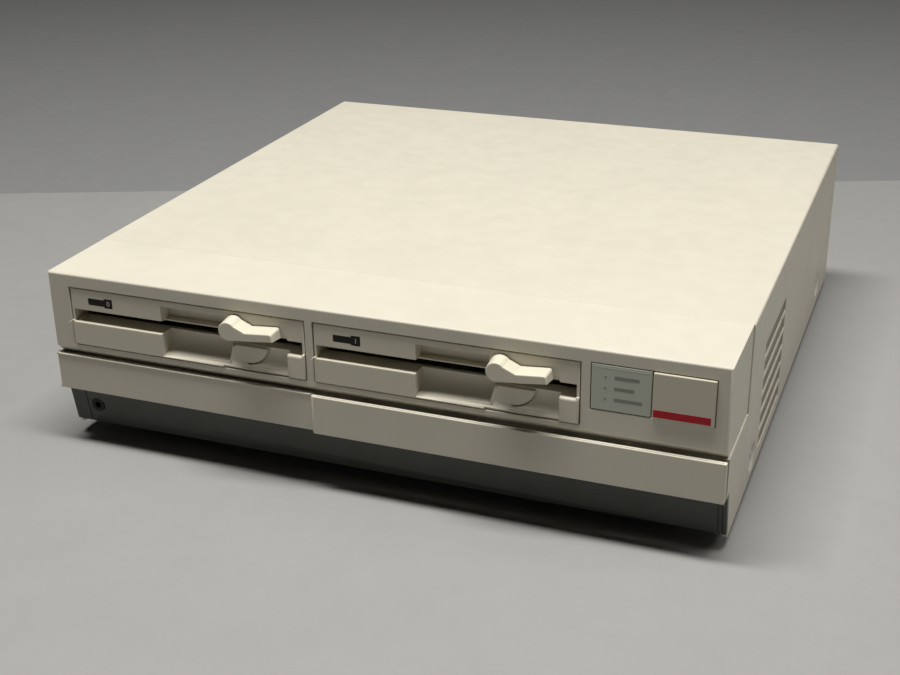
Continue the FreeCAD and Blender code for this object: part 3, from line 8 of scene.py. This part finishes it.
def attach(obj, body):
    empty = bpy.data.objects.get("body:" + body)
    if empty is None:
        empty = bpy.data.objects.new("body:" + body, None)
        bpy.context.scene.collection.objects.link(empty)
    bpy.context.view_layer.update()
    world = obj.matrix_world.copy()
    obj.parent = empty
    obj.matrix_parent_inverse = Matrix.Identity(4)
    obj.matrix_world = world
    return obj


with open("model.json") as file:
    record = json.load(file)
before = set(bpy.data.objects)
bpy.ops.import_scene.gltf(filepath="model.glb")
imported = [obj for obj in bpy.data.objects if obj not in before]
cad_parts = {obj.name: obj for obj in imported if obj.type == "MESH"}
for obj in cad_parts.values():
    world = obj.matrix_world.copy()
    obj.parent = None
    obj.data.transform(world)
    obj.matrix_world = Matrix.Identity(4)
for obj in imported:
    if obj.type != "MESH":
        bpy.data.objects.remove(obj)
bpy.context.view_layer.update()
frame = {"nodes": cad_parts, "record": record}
nodes = frame["nodes"]

# Places of pieces are in millimetres, with y from the front plane back, as in the CAD source
MM_PER_METRE = 1000
FRONT_PLANE = -193.35
DRIVES = {"left": -106.8, "right": 45.3}


def at(x, y, z):
    """A place in the row frame, in metres."""
    return Vector((x, y + FRONT_PLANE, z)) / MM_PER_METRE


def add_to_scene(name, data):
    made = bpy.data.objects.new(name, data)
    bpy.context.scene.collection.objects.link(made)
    return made


# Camera at the photograph's angle, its turn a rotation vector in radians
CAMERA_PLACE = (0.286375, -0.797657, 0.392606)
CAMERA_TURN = Vector((1.9674, 0.3564, -0.2497))
FOCAL_LENGTH = 56.0012
SENSOR_WIDTH = 36.0
NEAREST_SEEN = 0.01

camera_data = bpy.data.cameras.new("camera")
camera_data.lens = FOCAL_LENGTH
camera_data.sensor_width = SENSOR_WIDTH
camera_data.clip_start = NEAREST_SEEN
camera = add_to_scene("camera", camera_data)
look = Matrix.Rotation(CAMERA_TURN.length, 3, CAMERA_TURN).transposed() @ Matrix.Diagonal((1, -1, -1))
camera.matrix_world = Matrix.Translation(CAMERA_PLACE) @ look.to_4x4()
bpy.context.scene.camera = camera
bpy.context.scene.view_settings.view_transform = "Standard"

# Light: one long soft panel overhead and in front, a weak one from the right behind the front, and a dim room
WARM_WHITE = (1.0, 0.988, 0.955)
ROOM_GREY = (0.014, 0.014, 0.014, 1)


def panel_light(name, place, target, size, power, roll=0.0):
    """A soft light panel aimed at a target and rolled by degrees about its aim."""
    data = bpy.data.lights.new(name, "AREA")
    data.shape = "RECTANGLE"
    data.size, data.size_y = size
    data.energy = power
    data.color = WARM_WHITE
    light = add_to_scene(name, data)
    light.location = place
    light.rotation_mode = "QUATERNION"
    aim = (Vector(target) - Vector(place)).to_track_quat("-Z", "Y")
    light.rotation_quaternion = aim @ Quaternion((0, 0, 1), math.radians(roll))


panel_light("overhead", (0.0, -0.31, 1.90), target=(0.0, -0.3099, 0.0), size=(1.5, 0.30), power=54, roll=6.0)
panel_light("right", (1.3, 0.15, 1.3), target=(0.15, 0.15, 0.0), size=(0.7, 0.7), power=5.2)

world = bpy.data.worlds.new("room")
world.use_nodes = True
world.node_tree.nodes["Background"].inputs["Color"].default_value = ROOM_GREY
world.node_tree.nodes["Background"].inputs["Strength"].default_value = 1.0
bpy.context.scene.world = world


# Makers of materials

# Sockets of a mix node that blends colours
MIX_FIRST = 6
MIX_SECOND = 7
MIX_RESULT = 2


class Nodes:
    """Adds nodes to a material and joins them."""

    def __init__(self, name):
        self.material = bpy.data.materials.new(name)
        self.material.use_nodes = True
        self.tree = self.material.node_tree
        self.shader = self.tree.nodes["Principled BSDF"]
        self.place = self.add("ShaderNodeTexCoord").outputs["Object"]

    def add(self, kind, **values):
        node = self.tree.nodes.new(kind)
        for key, value in values.items():
            setattr(node, key, value)
        return node

    def join(self, source, target):
        self.tree.links.new(source, target)

    def noise(self, scale, detail=2.0, roughness=0.5, stretch=None):
        node = self.add("ShaderNodeTexNoise")
        node.inputs["Scale"].default_value = scale
        node.inputs["Detail"].default_value = detail
        node.inputs["Roughness"].default_value = roughness
        source = self.place
        if stretch:
            mapping = self.add("ShaderNodeMapping")
            mapping.inputs["Scale"].default_value = stretch
            self.join(source, mapping.inputs["Vector"])
            source = mapping.outputs["Vector"]
        self.join(source, node.inputs["Vector"])
        return node.outputs["Fac"]

    def wave(self, direction, scale):
        node = self.add("ShaderNodeTexWave", bands_direction=direction)
        node.inputs["Scale"].default_value = scale
        self.join(self.place, node.inputs["Vector"])
        return node.outputs["Fac"]

    def cells(self, scale, output, **values):
        node = self.add("ShaderNodeTexVoronoi", **values)
        node.inputs["Scale"].default_value = scale
        self.join(self.place, node.inputs["Vector"])
        return node.outputs[output]

    def spread(self, value, low, high, start=0.3, end=0.7):
        node = self.add("ShaderNodeMapRange")
        node.inputs["From Min"].default_value = start
        node.inputs["From Max"].default_value = end
        node.inputs["To Min"].default_value = low
        node.inputs["To Max"].default_value = high
        self.join(value, node.inputs["Value"])
        return node.outputs["Result"]

    def blend(self, factor, first, second):
        """Colour between two; each is a colour or a socket."""
        node = self.add("ShaderNodeMix", data_type="RGBA")
        self.join(factor, node.inputs["Factor"])
        for socket, value in ((node.inputs[MIX_FIRST], first), (node.inputs[MIX_SECOND], second)):
            if isinstance(value, tuple):
                socket.default_value = (*value, 1)
            else:
                self.join(value, socket)
        return node.outputs[MIX_RESULT]

    def bump(self, height, strength, distance, below=None):
        node = self.add("ShaderNodeBump")
        node.inputs["Strength"].default_value = strength
        node.inputs["Distance"].default_value = distance
        self.join(height, node.inputs["Height"])
        if below:
            self.join(below, node.inputs["Normal"])
        return node.outputs["Normal"]

    def set(self, **values):
        for key, value in values.items():
            socket = self.shader.inputs[key.replace("_", " ")]
            if isinstance(value, bpy.types.NodeSocket):
                self.join(value, socket)
            else:
                socket.default_value = (*value, 1) if isinstance(value, tuple) and len(value) == 3 else value


def shade(colour, factor):
    return tuple(min(1.0, c * factor) for c in colour)


def moulded(name, colour, rough, grain=2200.0, relief=0.25, vary=0.05, specular=0.5, dust=0.0):
    """Injection-moulded plastic or fine paint: faint cloudiness, fine grain, uneven gloss, settled dust."""
    n = Nodes(name)
    cloud = n.blend(n.spread(n.noise(22, detail=3), 0, 1), shade(colour, 1 - vary), shade(colour, 1 + vary))
    speck = n.spread(n.noise(grain * 0.45, detail=1), 0, 1, start=0.35, end=0.65)
    stain = n.blend(n.spread(n.noise(60), 0.3, 0.7), shade(colour, 1 - vary * 1.6), cloud)
    base = n.blend(speck, cloud, stain)
    if dust:
        smear = n.spread(n.noise(9, 5, 0.65, stretch=(1, 1, 3)), 0, dust, start=0.45, end=0.75)
        base = n.blend(smear, base, shade(colour, 0.72))
    fine = n.bump(n.noise(grain), relief, 0.00008)
    broad = n.bump(n.noise(35), 0.08, 0.0006, below=fine)
    gloss = n.spread(n.noise(90, detail=3), rough - 0.05, rough + 0.06)
    n.set(Base_Color=base, Roughness=gloss, Normal=broad, Specular_IOR_Level=specular)
    return n.material


def metal(name, colour, rough, brush=(1, 1, 40), spangle=0.0, relief=0.12):
    """Steel, zinc or aluminium: brush lines along an axis, or the large crystals of zinc plate."""
    n = Nodes(name)
    lines = n.noise(130, 4, 0.6, brush)
    base = n.blend(n.spread(lines, 0, 1), shade(colour, 0.88), shade(colour, 1.08))
    if spangle:
        tone = n.add("ShaderNodeSeparateColor")
        n.join(n.cells(160, "Color"), tone.inputs["Color"])
        crystal = n.spread(tone.outputs["Red"], 0, spangle, start=0, end=1)
        base = n.blend(crystal, base, shade(colour, 0.72))
    n.set(Base_Color=base, Metallic=1.0, Roughness=n.spread(lines, rough - 0.08, rough + 0.10),
          Normal=n.bump(lines, relief, 0.0001))
    return n.material


def board(name):
    """Lacquered circuit board with faint tracks in two directions and tinned pads."""
    n = Nodes(name)
    green = n.blend(n.spread(n.noise(40), 0, 1), (0.020, 0.085, 0.036), (0.028, 0.115, 0.048))
    bricks = n.add("ShaderNodeTexBrick", offset=0.5)
    bricks.inputs["Scale"].default_value = 220
    bricks.inputs["Mortar Size"].default_value = 0.045
    bricks.inputs["Brick Width"].default_value = 2.4
    bricks.inputs["Row Height"].default_value = 0.36
    n.join(n.place, bricks.inputs["Vector"])
    tracks = n.blend(bricks.outputs["Fac"], green, (0.050, 0.180, 0.070))
    pads = n.cells(300, "Distance", feature="DISTANCE_TO_EDGE")
    dots = n.spread(pads, 0, 1, start=0.62, end=0.66)
    n.set(Base_Color=n.blend(dots, tracks, (0.60, 0.60, 0.55)), Roughness=n.spread(n.noise(70), 0.30, 0.45),
          Normal=n.bump(bricks.outputs["Fac"], 0.2, 0.00005))
    return n.material


def tinted(name, colour, rough, through):
    """Translucent moulded plastic."""
    n = Nodes(name)
    base = n.blend(n.spread(n.noise(50, detail=3), 0, 1), shade(colour, 0.92), shade(colour, 1.08))
    n.set(Base_Color=base, Roughness=n.spread(n.noise(120), rough - 0.04, rough + 0.05),
          Transmission_Weight=through, IOR=1.49, Normal=n.bump(n.noise(1500, detail=1), 0.06, 0.00005))
    return n.material


def paper(name, colour):
    """Pressed paper cone with a fibrous relief."""
    n = Nodes(name)
    fibre = n.noise(900, 5, 0.7)
    n.set(Base_Color=n.blend(n.spread(fibre, 0, 1), shade(colour, 0.7), shade(colour, 1.4)), Roughness=0.9,
          Normal=n.bump(fibre, 0.5, 0.0002))
    return n.material


def ribbon_plastic(name, colour):
    """Grey flat-cable plastic, ribbed along its wires."""
    n = Nodes(name)
    wires = n.wave("X", 125)
    n.set(Base_Color=n.blend(wires, shade(colour, 0.78), colour), Roughness=n.spread(n.noise(80), 0.42, 0.55),
          Normal=n.bump(wires, 0.4, 0.0003))
    return n.material


def cloth(name, colour):
    """Fine woven dust screen: two crossed sets of threads."""
    n = Nodes(name)
    along = n.wave("Y", 420)
    across = n.wave("Z", 420)
    woven = n.blend(along, n.blend(across, shade(colour, 0.62), colour), shade(colour, 1.12))
    n.set(Base_Color=woven, Roughness=n.spread(n.noise(300), 0.75, 0.9),
          Normal=n.bump(along, 0.3, 0.0001, below=n.bump(across, 0.3, 0.0001)))
    return n.material


# Materials by name: the CAD nodes' slots first, then those of the pieces added here
CREAM = (0.620, 0.582, 0.486)
materials = {}


def stock(make, name, *values, **options):
    """Make a material and keep it under its name."""
    materials[name] = make(name, *values, **options)


stock(moulded, "cover_paint", CREAM, 0.42, grain=1500, relief=0.16, vary=0.02, dust=0.05)
stock(moulded, "case_plastic", CREAM, 0.50, grain=1900, relief=0.35, vary=0.025, dust=0.05)
stock(moulded, "skirt_plastic", (0.045, 0.047, 0.041), 0.48, grain=1700, relief=0.4, vary=0.12, dust=0.2)
stock(moulded, "button_plastic", (0.560, 0.516, 0.410), 0.40, relief=0.2, vary=0.03)
stock(moulded, "knob_plastic", (0.050, 0.050, 0.048), 0.42, vary=0.1)
stock(moulded, "black_plastic", (0.016, 0.016, 0.016), 0.50, vary=0.15, specular=0.2)
stock(moulded, "window_plastic", (0.465, 0.485, 0.410), 0.32, relief=0.10, vary=0.025)
stock(tinted, "lamp_plastic", (0.45, 0.05, 0.03), 0.15, through=0.6)
stock(moulded, "lamp_window_plastic", (0.012, 0.008, 0.006), 0.35, relief=0.05, vary=0.1, specular=0.2)
stock(board, "circuit_board")
stock(metal, "zinc_steel", (0.60, 0.61, 0.60), 0.42, spangle=0.6)
stock(metal, "bright_steel", (0.70, 0.70, 0.69), 0.28)
stock(moulded, "foot_rubber", (0.020, 0.020, 0.020), 0.75, grain=1300, relief=0.5, vary=0.2)
stock(paper, "speaker_paper", (0.045, 0.044, 0.042))
stock(ribbon_plastic, "cable_plastic", (0.34, 0.34, 0.36))
stock(moulded, "drive_plastic", (0.630, 0.588, 0.476), 0.47, grain=1900, relief=0.3, vary=0.03, dust=0.06)
stock(moulded, "lever_plastic", (0.665, 0.627, 0.506), 0.36, relief=0.12, vary=0.02)
stock(metal, "drive_casting", (0.46, 0.46, 0.45), 0.55, brush=(1, 1, 1), relief=0.4)
stock(metal, "pulley_metal", (0.68, 0.68, 0.66), 0.30, brush=(1, 1, 30))
stock(moulded, "legend_grey", (0.225, 0.242, 0.206), 0.5, relief=0.05, vary=0.1)
stock(moulded, "legend_light", (0.56, 0.53, 0.44), 0.5, relief=0.05, vary=0.03)
stock(moulded, "stripe_red", (0.440, 0.006, 0.018), 0.42, relief=0.08, vary=0.06, specular=0.25)
stock(moulded, "lens_grey", (0.230, 0.238, 0.200), 0.25, relief=0.04, vary=0.05)
stock(cloth, "screen_cloth", (0.330, 0.310, 0.255))
stock(metal, "contact_gold", (0.80, 0.58, 0.24), 0.25)
stock(metal, "tinned_metal", (0.66, 0.66, 0.64), 0.35)

for part in frame["record"]["subparts"]:
    mesh = nodes[part["node"]].data
    mesh.materials.clear()
    mesh.materials.append(materials[part["material_slot"]])


# Small rounded edges on the solids that are moulded or folded; the weld joins the faces' shared corners first
EDGES = {
    "front_bezel": 0.30, "front_door": 0.45, "right_front_panel": 0.40, "lower_front_frame": 0.25,
    "front_skirt": 0.25, "power_button": 0.30, "indicator_window": 0.40, "control_panel": 0.25,
    "left_drive_face": 0.25, "right_drive_face": 0.25, "lamp_windows": 0.12,
    "top_cover": 0.45, "rear_panel": 0.12, "slot_covers": 0.15, "mains_inlet": 0.25,
    "rear_connectors": 0.20, "keyboard_socket": 0.20, "headphone_socket": 0.15, "feet": 0.35,
}
WELD_DISTANCE = 0.00001
BEVEL_ANGLE = 50
EDGE_SEGMENTS = 2
for name, width in EDGES.items():
    weld = nodes[name].modifiers.new("weld", "WELD")
    weld.merge_threshold = WELD_DISTANCE
    bevel = nodes[name].modifiers.new("edges", "BEVEL")
    bevel.width = width / MM_PER_METRE
    bevel.segments = EDGE_SEGMENTS
    bevel.limit_method = "ANGLE"
    bevel.angle_limit = math.radians(BEVEL_ANGLE)
    bevel.use_clamp_overlap = False


# Makers of the pieces added to the solids

def piece(name, mesh, material, body):
    """A finished piece of the object, riding on a body."""
    made = add_to_scene(name, mesh)
    mesh.materials.append(materials[material])
    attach(made, body)
    return made


def from_bmesh(name, shape):
    bmesh.ops.recalc_face_normals(shape, faces=shape.faces)
    mesh = bpy.data.meshes.new(name)
    shape.to_mesh(mesh)
    shape.free()
    return mesh


def add_block(shape, xs, ys, zs, edge=0.0):
    """A block between limits, its edges bevelled by a width."""
    corners = [at(x, y, z) for x in xs for y in ys for z in zs]
    v = [shape.verts.new(c) for c in corners]
    faces = [shape.faces.new([v[i] for i in f]) for f in
             ((0, 1, 3, 2), (4, 6, 7, 5), (0, 4, 5, 1), (2, 3, 7, 6), (0, 2, 6, 4), (1, 5, 7, 3))]
    if edge:
        edges = list({e for f in faces for e in f.edges})
        bmesh.ops.bevel(shape, geom=edges, offset=edge / MM_PER_METRE, segments=EDGE_SEGMENTS, affect="EDGES",
                        profile=0.5)


def block_piece(name, blocks, material, body, edge=0.0):
    """A piece made of blocks, each given by its limits in x, y and z."""
    shape = bmesh.new()
    for xs, ys, zs in blocks:
        add_block(shape, xs, ys, zs, edge)
    return piece(name, from_bmesh(name, shape), material, body)


def add_disc(shape, centre, radius, ys, sides=24, dome=0.0):
    """A round plate that faces the front, its front face domed by a height."""
    x, z = centre
    front, back = ys
    profile = ((back, radius), (front + dome, radius), (front + dome * 0.3, radius * 0.8),
               (front, radius * 0.35))
    rings = []
    for y, r in profile:
        rings.append([shape.verts.new(at(x + r * math.cos(a), y, z + r * math.sin(a)))
                      for a in (2 * math.pi * i / sides for i in range(sides))])
    for low, high in zip(rings, rings[1:]):
        for i in range(sides):
            j = (i + 1) % sides
            shape.faces.new((low[i], low[j], high[j], high[i]))
    shape.faces.new(rings[0])
    shape.faces.new(rings[-1])


def disc_piece(name, centres, radius, ys, material, body, sides=24, dome=0.0):
    """A piece made of alike discs."""
    shape = bmesh.new()
    for centre in centres:
        add_disc(shape, centre, radius, ys, sides, dome)
    return piece(name, from_bmesh(name, shape), material, body)


# Digit on the label block beside each drive's lamp
LABEL_OFFSET = -48.7
LABEL_Z = 92.6
LABEL_FRONT = 0.52
DIGIT_HEIGHT = 3.0
FONT_PER_HEIGHT = 1.40
DIGIT_RAISE = 0.00004


def digit(name, text, x, body):
    """A raised printed digit."""
    curve = bpy.data.curves.new(name + "_outline", "FONT")
    curve.body = text
    curve.size = DIGIT_HEIGHT / MM_PER_METRE * FONT_PER_HEIGHT
    curve.extrude = DIGIT_RAISE
    curve.resolution_u = 6
    outline = add_to_scene(name + "_outline", curve)
    bpy.context.view_layer.update()
    mesh = bpy.data.meshes.new_from_object(outline.evaluated_get(bpy.context.evaluated_depsgraph_get()))
    bpy.data.objects.remove(outline)
    xs = [v.co.x for v in mesh.vertices]
    ys = [v.co.y for v in mesh.vertices]
    middle = Vector(((min(xs) + max(xs)) / 2, (min(ys) + max(ys)) / 2, 0))
    mesh.transform(Matrix.Translation(at(x, LABEL_FRONT, LABEL_Z)) @ Matrix.Rotation(math.radians(90), 4, "X")
                   @ Matrix.Translation(-middle))
    mesh.materials.clear()
    return piece(name, mesh, "legend_light", body)


for index, (side, cx) in enumerate(DRIVES.items()):
    digit(side + "_label_digit", str(index), cx + LABEL_OFFSET, "case")


# Window: a pane with a painted highlight line just under its top edge, three dots over the lamps, three plain
# bars beside them
STATUS_Z = (75.5, 100.2)
PANE_X = (124.5, 154.9)
PANE_Y = (-0.1, 0.7)
PRINT_AND_HIGHLIGHT_Y = (-0.15, -0.08)
PRINT_AND_HIGHLIGHT_EDGE = 0.02
# Painted highlight: a light line where the pane's top edge would catch the light
WINDOW_HIGHLIGHT_X = (125.2, 154.6)
WINDOW_HIGHLIGHT_Z = (98.65, 98.95)
LAMP_X = 131.6
DOT_RADIUS = 0.65
DOT_Y = (-0.24, -0.08)
BAR_LEFT = 136.2
BAR_HALF = 0.95
# Right end of each bar by the height of its middle, which is its lamp's height too
BAR_ENDS = {93.9: 148.7, 87.9: 146.3, 81.9: 150.5}

block_piece("window_pane", [(PANE_X, PANE_Y, STATUS_Z)], "window_plastic", "case",
            edge=0.25)
# Painted highlight along the pane's top edge, in the light print colour
block_piece("window_painted_highlight", [(WINDOW_HIGHLIGHT_X, PRINT_AND_HIGHLIGHT_Y, WINDOW_HIGHLIGHT_Z)], "legend_light", "case", edge=PRINT_AND_HIGHLIGHT_EDGE)
disc_piece("window_dots", [(LAMP_X, z) for z in BAR_ENDS], DOT_RADIUS, DOT_Y, "lens_grey", "case",
           dome=0.08)
bars = [((BAR_LEFT, end), PRINT_AND_HIGHLIGHT_Y, (z - BAR_HALF, z + BAR_HALF)) for z, end in BAR_ENDS.items()]
block_piece("window_bars", bars, "legend_grey", "case", edge=PRINT_AND_HIGHLIGHT_EDGE)


# Power button's raised cap and its stripe
CAP_X = (155.7, 186.5)
CAP_Y = (-1.3, 0.4)
STRIPE_X = (156.3, 184.8)
STRIPE_Y = (-1.36, -1.26)
STRIPE_Z = (76.5, 80.5)

block_piece("button_cap", [(CAP_X, CAP_Y, STATUS_Z)], "button_plastic", "power_button",
            edge=0.45)
block_piece("button_stripe", [(STRIPE_X, STRIPE_Y, STRIPE_Z)], "stripe_red", "power_button", edge=0.03)


# Painted shade: dark strips of the rubber material set in the gaps round the drives' faces, the window and
# the button, standing in for the shade in those gaps
BAY_GAP = 0.6
BAY_SHADE_Y = (1.9, 2.8)
BAY_SHADE_Z = (64.85, 100.05)
BAY_SHADE_LEFT = -73.85
BAY_SHADE_RIGHT = 73.25
BAY_SHADE_HALF = 73.2
BAY_SHADE_FEET = (64.85, 99.45)
STATUS_GAP = 0.3
STATUS_SHADE_X = (124.1, 186.9)
STATUS_SHADE_Y = (1.2, 2.8)
STATUS_SHADE_Z = (75.05, 100.65)
STATUS_SHADE_FEET = (75.05, 100.35)
STATUS_UPRIGHTS = ((124.05, 124.35), (155.08, 155.52), (186.65, 186.95))

gap_shade_strips = []
for cx in DRIVES.values():
    gap_shade_strips += [((x, x + BAY_GAP), BAY_SHADE_Y, BAY_SHADE_Z) for x in (cx + BAY_SHADE_LEFT, cx + BAY_SHADE_RIGHT)]
    gap_shade_strips += [((cx - BAY_SHADE_HALF, cx + BAY_SHADE_HALF), BAY_SHADE_Y, (z, z + BAY_GAP)) for z in BAY_SHADE_FEET]
gap_shade_strips += [(xs, STATUS_SHADE_Y, STATUS_SHADE_Z) for xs in STATUS_UPRIGHTS]
gap_shade_strips += [(STATUS_SHADE_X, STATUS_SHADE_Y, (z, z + STATUS_GAP)) for z in STATUS_SHADE_FEET]
# Painted shade: these dark strips darken the gaps where shade falls
block_piece("gap_painted_shade", gap_shade_strips, "foot_rubber", "case")


# Fine bead along the top of the flap
BEAD_X = (-193.6, -31.4)
BEAD_Y = (-0.45, 0.3)
BEAD_Z = (56.95, 57.45)

block_piece("flap_bead", [(BEAD_X, BEAD_Y, BEAD_Z)], "case_plastic", "door", edge=0.15)


# Dust screens behind the side vents
SCREEN_X = (193.1, 193.45)
SCREEN_Y = (98, 175)
SCREEN_Z = (11, 80.5)

screens = [(sorted(side * x for x in SCREEN_X), SCREEN_Y, SCREEN_Z) for side in (-1, 1)]
block_piece("vent_screens", screens, "screen_cloth", "case")


# Volume knob's pointer
POINTER_X = (-159.5, -158.5)
POINTER_Y = (24.12, 24.35)
POINTER_Z = (50.0, 53.2)

block_piece("knob_pointer", [(POINTER_X, POINTER_Y, POINTER_Z)], "legend_light", "volume_knob", edge=0.05)


# Contacts of the keyboard socket, in a black insert
SOCKET_CENTRE = (-66, 48.2)
INSERT_RADIUS = 5.1
INSERT_Y = (36.4, 39.4)
PIN_COUNT = 5
PIN_STEP = 45
PIN_CIRCLE = 3.2
PIN_RADIUS = 0.45
PIN_Y = (36.2, 36.5)


def pin_centre(index):
    """Centre of a contact on the upper half of the pin circle."""
    angle = math.radians(-90 + (index - PIN_COUNT // 2) * PIN_STEP)
    x, z = SOCKET_CENTRE
    return x + PIN_CIRCLE * math.cos(angle), z - PIN_CIRCLE * math.sin(angle)


disc_piece("keyboard_insert", [SOCKET_CENTRE], INSERT_RADIUS, INSERT_Y, "black_plastic", "case",
           sides=32)
disc_piece("keyboard_contacts", [pin_centre(i) for i in range(PIN_COUNT)], PIN_RADIUS, PIN_Y, "contact_gold",
           "case", sides=12)


# Legs of the chips on the main board
LEG_PITCH = 2.54
LEG_HALF = 0.28
LEG_REACH = 0.8
LEG_SINK = 0.05
LEG_TOP = 1.9
ROW_MARGIN = 1


def loose_boxes(mesh):
    """Lowest and highest corner of each separate solid of a mesh, in millimetres from the front plane."""
    first = {}
    group = [first.setdefault(tuple(round(c, 6) for c in v.co), v.index) for v in mesh.vertices]

    def top(i):
        while group[i] != i:
            group[i] = group[group[i]]
            i = group[i]
        return i

    for edge in mesh.edges:
        group[top(edge.vertices[0])] = top(edge.vertices[1])
    solids = {}
    for v in mesh.vertices:
        corner = (v.co.x * MM_PER_METRE, v.co.y * MM_PER_METRE - FRONT_PLANE, v.co.z * MM_PER_METRE)
        solids.setdefault(top(v.index), []).append(corner)
    return [(tuple(map(min, *points)), tuple(map(max, *points))) for points in solids.values()]


def chip_leg_blocks(low, high):
    """Blocks of the two rows of legs along a chip's long sides."""
    long_axis = 0 if high[0] - low[0] > high[1] - low[1] else 1
    short_axis = 1 - long_axis
    length = high[long_axis] - low[long_axis]
    count = int((length - ROW_MARGIN) / LEG_PITCH) + 1
    first = low[long_axis] + (length - (count - 1) * LEG_PITCH) / 2
    rows = ((low[short_axis] - LEG_REACH, low[short_axis]),
            (high[short_axis], high[short_axis] + LEG_REACH))
    zs = (low[2] - LEG_SINK, low[2] + LEG_TOP)
    for place in (first + i * LEG_PITCH for i in range(count)):
        along = (place - LEG_HALF, place + LEG_HALF)
        for out in rows:
            xs, ys = (along, out) if long_axis == 0 else (out, along)
            yield xs, ys, zs


legs = []
for low, high in loose_boxes(nodes["board_chips"].data):
    legs += chip_leg_blocks(low, high)
block_piece("chip_legs", legs, "tinned_metal", "case")


# Floor: a pale sheet in front of a line behind the object, and a grey backdrop sheet behind it, in metres
LINE_MIDDLE = Vector((-0.154, 0.333, 0))
LINE_ACROSS = Vector((0.9312, 0.3644, 0))
LINE_AWAY = Vector((-0.3644, 0.9312, 0))
SHEET_HALF = 5


def sheet(name, colour, start, end):
    """A flat sheet on the ground between two distances behind the line."""
    shape = bmesh.new()
    ends = ((-SHEET_HALF, start), (SHEET_HALF, start), (SHEET_HALF, end), (-SHEET_HALF, end))
    corners = [LINE_MIDDLE + LINE_ACROSS * side + LINE_AWAY * way for side, way in ends]
    shape.faces.new([shape.verts.new(c) for c in corners])
    mesh = bpy.data.meshes.new(name)
    shape.to_mesh(mesh)
    shape.free()
    mesh.materials.append(moulded(name + "_board", colour, 0.6, grain=700, relief=0.05, vary=0.02))
    add_to_scene(name, mesh)


sheet("floor", (0.305, 0.301, 0.292), -5, 0)
sheet("backdrop", (0.230, 0.230, 0.230), 0, 6)
